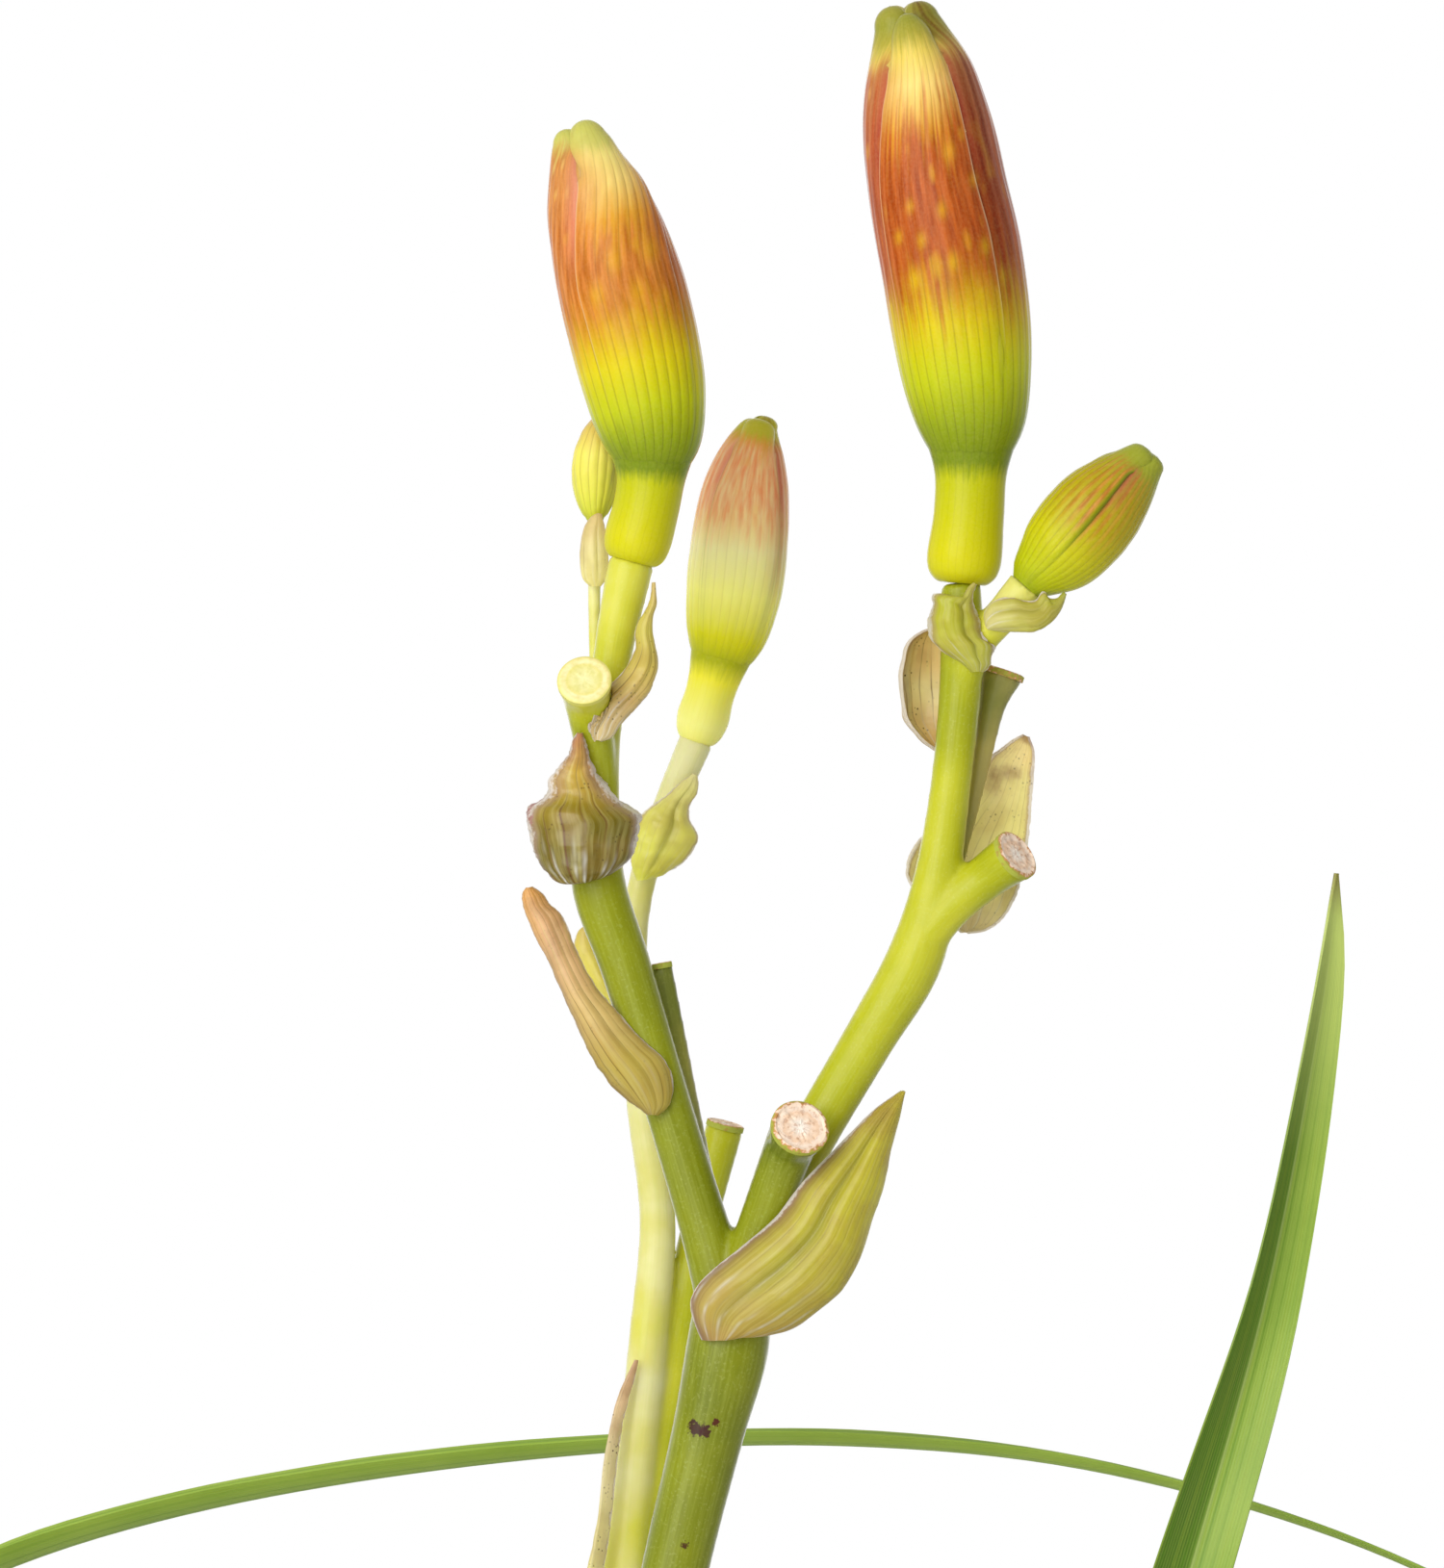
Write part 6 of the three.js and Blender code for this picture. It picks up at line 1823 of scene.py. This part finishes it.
# %% The finish of the crowns
def straw_finish():
    """Dry leaf bases: fibrous straw, pale at the top and browner towards the soil."""
    material, tree, skin = new_finish("dry leaf base")
    spot = add(tree, "TexCoord", out="Object")
    # Fibres run upright, about 0.7 mm apart.
    stretched = add(tree, "Mapping", {"Vector": spot, "Scale": (1.4 / MM, 1.4 / MM, 0.09 / MM)})
    fibres = add(tree, "TexNoise", {"Vector": stretched, "Scale": 1, "Detail": 3})
    patches = add(tree, "TexNoise", {"Vector": spot, "Scale": 0.11 / MM, "Detail": 3})
    both = add(tree, "Math", (fibres, patches), operation="MULTIPLY")
    spread = add(tree, "MapRange", (both, 0.12, 0.4))
    colour = add(tree, "ValToRGB", [spread], stops=[(0, "8a6f42"), (0.5, "c0b178"), (1, "e6dcb0")])
    bump = add(tree, "Bump", {"Height": fibres, "Strength": 0.5, "Distance": 0.3 * MM})
    fill(tree, skin, {"Base Color": colour, "Normal": bump, "Roughness": 0.8})
    return material


dry_leaf_base = straw_finish()
print("crown finish ready")

# %% Grow the crowns
CROWN = {"bottom": 124.3, "top": CROWN_TOP, "half_length": 25.7, "half_width": 12.2}


def grow_crown(name, centre):
    """An oval disc drawn up to its top, with steps inwards there, then sheaths pressed into it."""
    crown = start_circle(name, 72, 1, CROWN["bottom"])
    edit_all()
    oval = (CROWN["half_length"], CROWN["half_width"], 1)
    bpy.ops.transform.resize(value=oval, center_override=(0, 0, 0))
    bpy.ops.mesh.edge_face_add()
    bpy.ops.mesh.select_all(action="SELECT")
    levels = 10
    for _ in range(levels):
        rise = (CROWN["top"] - CROWN["bottom"] - 0.8) / levels
        bpy.ops.mesh.extrude_region_move(TRANSFORM_OT_translate={"value": (0, 0, rise * MM)})
    for shrink in (0.8, 1.4, 1.6, 1.6, 1.6, 1.6):
        bpy.ops.mesh.inset(thickness=shrink * MM)
    close_edit()
    points = points_of(crown) / MM
    far = np.hypot(points[:, 0] / CROWN["half_length"], points[:, 1] / CROWN["half_width"])
    height = np.clip((points[:, 2] - CROWN["bottom"]) / (CROWN["top"] - CROWN["bottom"]), 0, 1)
    sheaths = np.abs(np.sin(far * 9 + 0.7 * wobble(points[:, 0], points[:, 1], 0.12, 4)))
    points[:, 2] += np.where(height > 0.9, 0.8 * sheaths - 0.4 * far**4, 0)
    round_at = np.arctan2(points[:, 1], points[:, 0])
    pressed = 0.35 * np.abs(np.sin(round_at * 7 + 1.5 * height)) * (far > 0.9)
    points[:, 0] *= 1 - pressed / CROWN["half_length"]
    points[:, 1] *= 1 - pressed / CROWN["half_width"]
    points[:, :2] += centre
    move_points(crown, points * MM)
    smooth_faces(crown, 60)
    return place_piece(crown, name, "crown", dry_leaf_base)


for fan, place in FANS.items():
    print(faces_in(grow_crown(f"crown_{fan}", place["centre"])), "triangles in the", fan, "crown")

# %% [markdown]
# ## Pot
#
# The pot is a plain tapered clay pot with a broad collar, thrown or pressed and fired unglazed. It is
# a disc that is extruded and scaled from ring to ring, up the outside, over the rim and down the
# inside, which gives the same shape as turning its outline on a wheel. Its drainage holes are cut out
# with a Boolean.

# %% The outline of the pot
POT = {
    "height": 165,
    "base_radius": 68,
    "top_radius": 99,
    "rim_height": 30,
    "rim_proud": 6,
    "wall": 7,
    "floor": 9,
    "drain_holes": 4,
    "drain_radius": 6,
    "drain_circle": 38,
}


def wall_radius(height):
    return POT["base_radius"] + (POT["top_radius"] - POT["base_radius"]) / POT["height"] * height


def inner_radius(height):
    return wall_radius(height) - POT["wall"]


def rounded(stations, steps=5):
    """Cut each corner of an outline of (height, radius, rounding) into a short curve."""
    outline = []
    for k, (height, radius, soft) in enumerate(stations):
        spot = np.array([height, radius], float)
        if soft == 0 or k in (0, len(stations) - 1):
            outline.append(tuple(spot))
            continue
        before, after = (np.array(stations[n][:2], float) - spot for n in (k - 1, k + 1))
        start, end = (spot + soft * side / np.linalg.norm(side) for side in (before, after))
        for t in np.linspace(0, 1, steps):
            outline.append(tuple((1 - t) ** 2 * start + 2 * t * (1 - t) * spot + t**2 * end))
    return outline


def pot_outline():
    """From the middle of the foot up the outside, over the rim, and down to the middle of the floor."""
    top, floor, proud = POT["height"], POT["floor"], POT["rim_proud"]
    collar = top - POT["rim_height"]
    corners = [(0, POT["base_radius"] - 3, 0), (0, POT["base_radius"], 2)]
    corners += [(h, wall_radius(h), 0) for h in np.linspace(8, collar - 6, 22)]
    corners += [(collar, wall_radius(collar), 1.2), (collar + 3, wall_radius(collar) + proud, 1.5)]
    corners += [(h, wall_radius(h) + proud, 0) for h in np.linspace(collar + 8, top - 6, 5)]
    corners += [(top, POT["top_radius"] + proud, 3), (top, inner_radius(top), 2.4)]
    corners += [(h, inner_radius(h), 0) for h in np.linspace(top - 8, floor + 6, 20)]
    corners += [(floor, inner_radius(floor), 3), (floor, inner_radius(floor) - 12, 0)]
    return rounded(corners)


print("the pot's outline has", len(pot_outline()), "points")


# %% Fired clay
def terracotta_finish():
    """Unglazed fired clay: warm orange, with chalky bloom, damp darker patches and fine grit."""
    material, tree, clay = new_finish("terracotta")
    spot = add(tree, "TexCoord", out="Object")
    broad = add(tree, "TexNoise", {"Vector": spot, "Scale": 0.014 / MM, "Detail": 6})
    grit = add(tree, "TexNoise", {"Vector": spot, "Scale": 0.9 / MM, "Detail": 3})
    chalk_at = add(tree, "Mapping", {"Vector": spot, "Location": (0.3, 0.1, 0.2), "Scale": (1, 1, 1.6)})
    chalk = add(tree, "TexNoise", {"Vector": chalk_at, "Scale": 0.026 / MM, "Detail": 8})
    # Clay near the foot is damp and darker.
    height = add(tree, "SeparateXYZ", [spot], "Z")
    ragged = add(tree, "Math", (broad, 50 * MM), operation="MULTIPLY")
    level = add(tree, "Math", (height, ragged), operation="ADD")
    colour = lay_over(
        tree,
        linear("b06a48"),
        ("c48a68", broad, 0.35, 0.65),
        ("e4cdb8", chalk, 0.52, 0.72, 0.0, 0.55),
        ("8f4f30", level, 28 * MM, 50 * MM, 0.45, 0.0),
        ("7d4a30", grit, 0.6, 0.72, 0.0, 0.35),
    )
    # Throwing rings lie about 3 mm apart, one above the other.
    level_rings = add(tree, "Mapping", {"Vector": spot, "Scale": (8, 8, 420)})
    rings = add(tree, "TexNoise", {"Vector": level_rings, "Scale": 1, "Detail": 2})
    ringed = add(tree, "Bump", {"Height": rings, "Strength": 0.35, "Distance": 0.5 * MM})
    gritty = {"Height": grit, "Strength": 0.4, "Distance": 0.2 * MM, "Normal": ringed}
    fill(tree, clay, {"Base Color": colour, "Normal": add(tree, "Bump", gritty), "Roughness": 0.88})
    return material


terracotta = terracotta_finish()
print("clay finish ready")


# %% Turn the pot
def boolean_cut(piece, cutters):
    cutter = join(cutters, "cutter")
    finish_with(piece, "BOOLEAN", operation="DIFFERENCE", object=cutter, solver="EXACT")
    bpy.data.objects.remove(cutter, do_unlink=True)


pot = straight_rod("pot_turned", pot_outline(), 144)
drains = []
for k in range(POT["drain_holes"]):
    angle = (k + 0.5) * 2 * math.pi / POT["drain_holes"]
    place = (POT["drain_circle"] * math.cos(angle) * MM, POT["drain_circle"] * math.sin(angle) * MM, 0)
    size = {"radius": POT["drain_radius"] * MM, "depth": 4 * POT["floor"] * MM}
    clear_selection()
    bpy.ops.mesh.primitive_cylinder_add(vertices=32, location=place, **size)
    drains.append(bpy.context.object)
boolean_cut(pot, drains)
smooth_faces(pot, 35)
place_piece(pot, "pot", "clay", terracotta)
print(faces_in(pot), "triangles in the pot")

# %% [markdown]
# ## Potting mix
#
# The pot holds a mix of composted bark, peat and white perlite. The body of it is a disc drawn up from
# the pot's floor, with a top cut into fine rings and made lumpy, and with a hole for each crown. A few
# hundred bark chips and grains of perlite are sunk into the top: each kind is one faceted ball, made
# rough, and copied with its own size and turn.


# %% The finishes of the potting mix
def crumb_finish(name, dark, light, roughness, grain):
    """Crumbly matter: two shades mixed by noise, with a rough surface. The grain is in millimetres."""
    material, tree, skin = new_finish(name)
    spot = add(tree, "TexCoord", out="Object")
    crumbs = add(tree, "TexNoise", {"Vector": spot, "Scale": 1 / (grain * MM), "Detail": 6})
    colour = lay_over(tree, linear(dark), (light, crumbs, 0.35, 0.68))
    bump = add(tree, "Bump", {"Height": crumbs, "Strength": 0.8, "Distance": 0.25 * grain * MM})
    fill(tree, skin, {"Base Color": colour, "Normal": bump, "Roughness": roughness})
    return material


peat = crumb_finish("moist peat", "33241a", "5c4430", 0.95, grain=3)
bark = crumb_finish("composted bark", "4a3020", "96704a", 0.85, grain=4)
perlite = crumb_finish("perlite", "cfcac0", "f5f3ee", 0.9, grain=1.5)
print("the mix is", ", ".join(matter.name for matter in (peat, bark, perlite)))

# %% Fill the pot
SOIL = {"top": 150, "dome": 2, "bumps": 1, "play": 1.2, "rings": 54, "crown_gap": 0.3}


def soil_height(x, y):
    far = np.hypot(x, y) / inner_radius(SOIL["top"])
    lumps = np.sin(x / 7 + 1) * np.cos(y / 6) + np.sin((x + 2 * y) / 11)
    return SOIL["top"] + SOIL["dome"] * (1 - far**2) + SOIL["bumps"] * lumps * (1 - far**4)


def crown_hole(centre):
    """A cylinder of a crown's oval, a little larger, that starts at its foot."""
    clear_selection()
    depth = 60
    bpy.ops.mesh.primitive_cylinder_add(vertices=64, radius=MM, depth=depth * MM)
    hole = bpy.context.object
    hole.scale = (CROWN["half_length"] + SOIL["crown_gap"], CROWN["half_width"] + SOIL["crown_gap"], 1)
    middle = CROWN["bottom"] - SOIL["crown_gap"] + depth / 2
    hole.location = (centre[0] * MM, centre[1] * MM, middle * MM)
    bpy.ops.object.transform_apply(location=True, rotation=True, scale=True)
    return hole


def soil_body():
    """The mix: a disc drawn up from the pot's floor, its top cut into fine rings and made lumpy."""
    low, high, rings = POT["floor"] + 0.3, SOIL["top"], SOIL["rings"]
    edge = inner_radius(high) - SOIL["play"]
    body = straight_rod("soil_body", [(low, inner_radius(low) - SOIL["play"]), (high, edge)], 150)
    select_only(body)
    bpy.ops.object.mode_set(mode="EDIT")
    bpy.ops.mesh.select_all(action="DESELECT")
    bpy.ops.object.mode_set(mode="OBJECT")
    for face in body.data.polygons:
        face.select = face.center.z > (high - 1) * MM
    bpy.ops.object.mode_set(mode="EDIT")
    bpy.ops.mesh.select_mode(type="FACE")
    for _ in range(rings):
        bpy.ops.mesh.inset(thickness=edge / (rings + 0.6) * MM)
    bpy.ops.mesh.select_mode(type="VERT")
    bpy.ops.object.mode_set(mode="OBJECT")
    points = points_of(body) / MM
    x, y, z = points.T
    crumbs = 0.6 * wobble(x, y, 0.3, 1) + 0.4 * wobble(x, y, 0.8, 2)
    lumpy = soil_height(x, y) + crumbs * (np.hypot(x, y) < edge - 0.5)
    points[:, 2] = np.where(z > high - 1, lumpy, z)
    move_points(body, points * MM)
    boolean_cut(body, [crown_hole(fan["centre"]) for fan in FANS.values()])
    return body


soil = soil_body()
soil.data.materials.append(peat)
print(faces_in(soil), "triangles in the body of the mix")


# %% Strew chips and grains
def rough_grain(name, roughness):
    """One faceted ball, about 1 mm in radius, that copies of a chip or a grain are made from."""
    clear_selection()
    bpy.ops.mesh.primitive_ico_sphere_add(subdivisions=2, radius=MM)
    grain = bpy.context.object
    grain.name = name
    points = points_of(grain)
    points *= (1 + roughness * np.array([random.uniform(-1, 1) for _ in points]))[:, None]
    move_points(grain, points)
    return grain


def on_the_mix(x, y):
    """Whether a place lies inside the pot and clear of the crowns."""
    length, width = CROWN["half_length"] + 3, CROWN["half_width"] + 3
    centres = [fan["centre"] for fan in FANS.values()]
    off_crowns = min(math.hypot((x - at_x) / length, (y - at_y) / width) for at_x, at_y in centres)
    return math.hypot(x, y) <= inner_radius(SOIL["top"]) - 5 and off_crowns >= 1


def strew(grain, count, size, flatness, material):
    """Copy a grain over the top of the mix, each copy with its own size, lean and turn."""
    copies = []
    while len(copies) < count:
        x, y = random.uniform(-90, 90), random.uniform(-90, 90)
        if not on_the_mix(x, y):
            continue
        copy = grain.copy()
        copy.data = grain.data.copy()
        bpy.context.scene.collection.objects.link(copy)
        long = random.uniform(*size)
        points = points_of(copy) * (long, long * random.uniform(0.45, 0.9), long * flatness)
        lean, turn = random.uniform(-0.35, 0.35), random.uniform(0, 2 * math.pi)
        leaning, z = turned(points[:, 0], points[:, 2], lean)
        placed_x, placed_y = turned(leaning, points[:, 1], turn)
        level = soil_height(x, y) + 0.25 * long * flatness
        move_points(copy, np.stack([placed_x + x * MM, placed_y + y * MM, z + level * MM], axis=1))
        copy.data.materials.append(material)
        copies.append(copy)
    bpy.data.objects.remove(grain, do_unlink=True)
    return copies


chips = strew(rough_grain("bark_chip", 0.16), 330, (1.4, 3.8), 0.35, bark)
grains = strew(rough_grain("perlite_grain", 0.12), 90, (0.9, 1.7), 0.85, perlite)
soil = join([soil, *chips, *grains], "soil_strewn")
smooth_faces(soil, 40)
place_piece(soil, "soil", "soil")
print(faces_in(soil), "triangles in the potting mix")
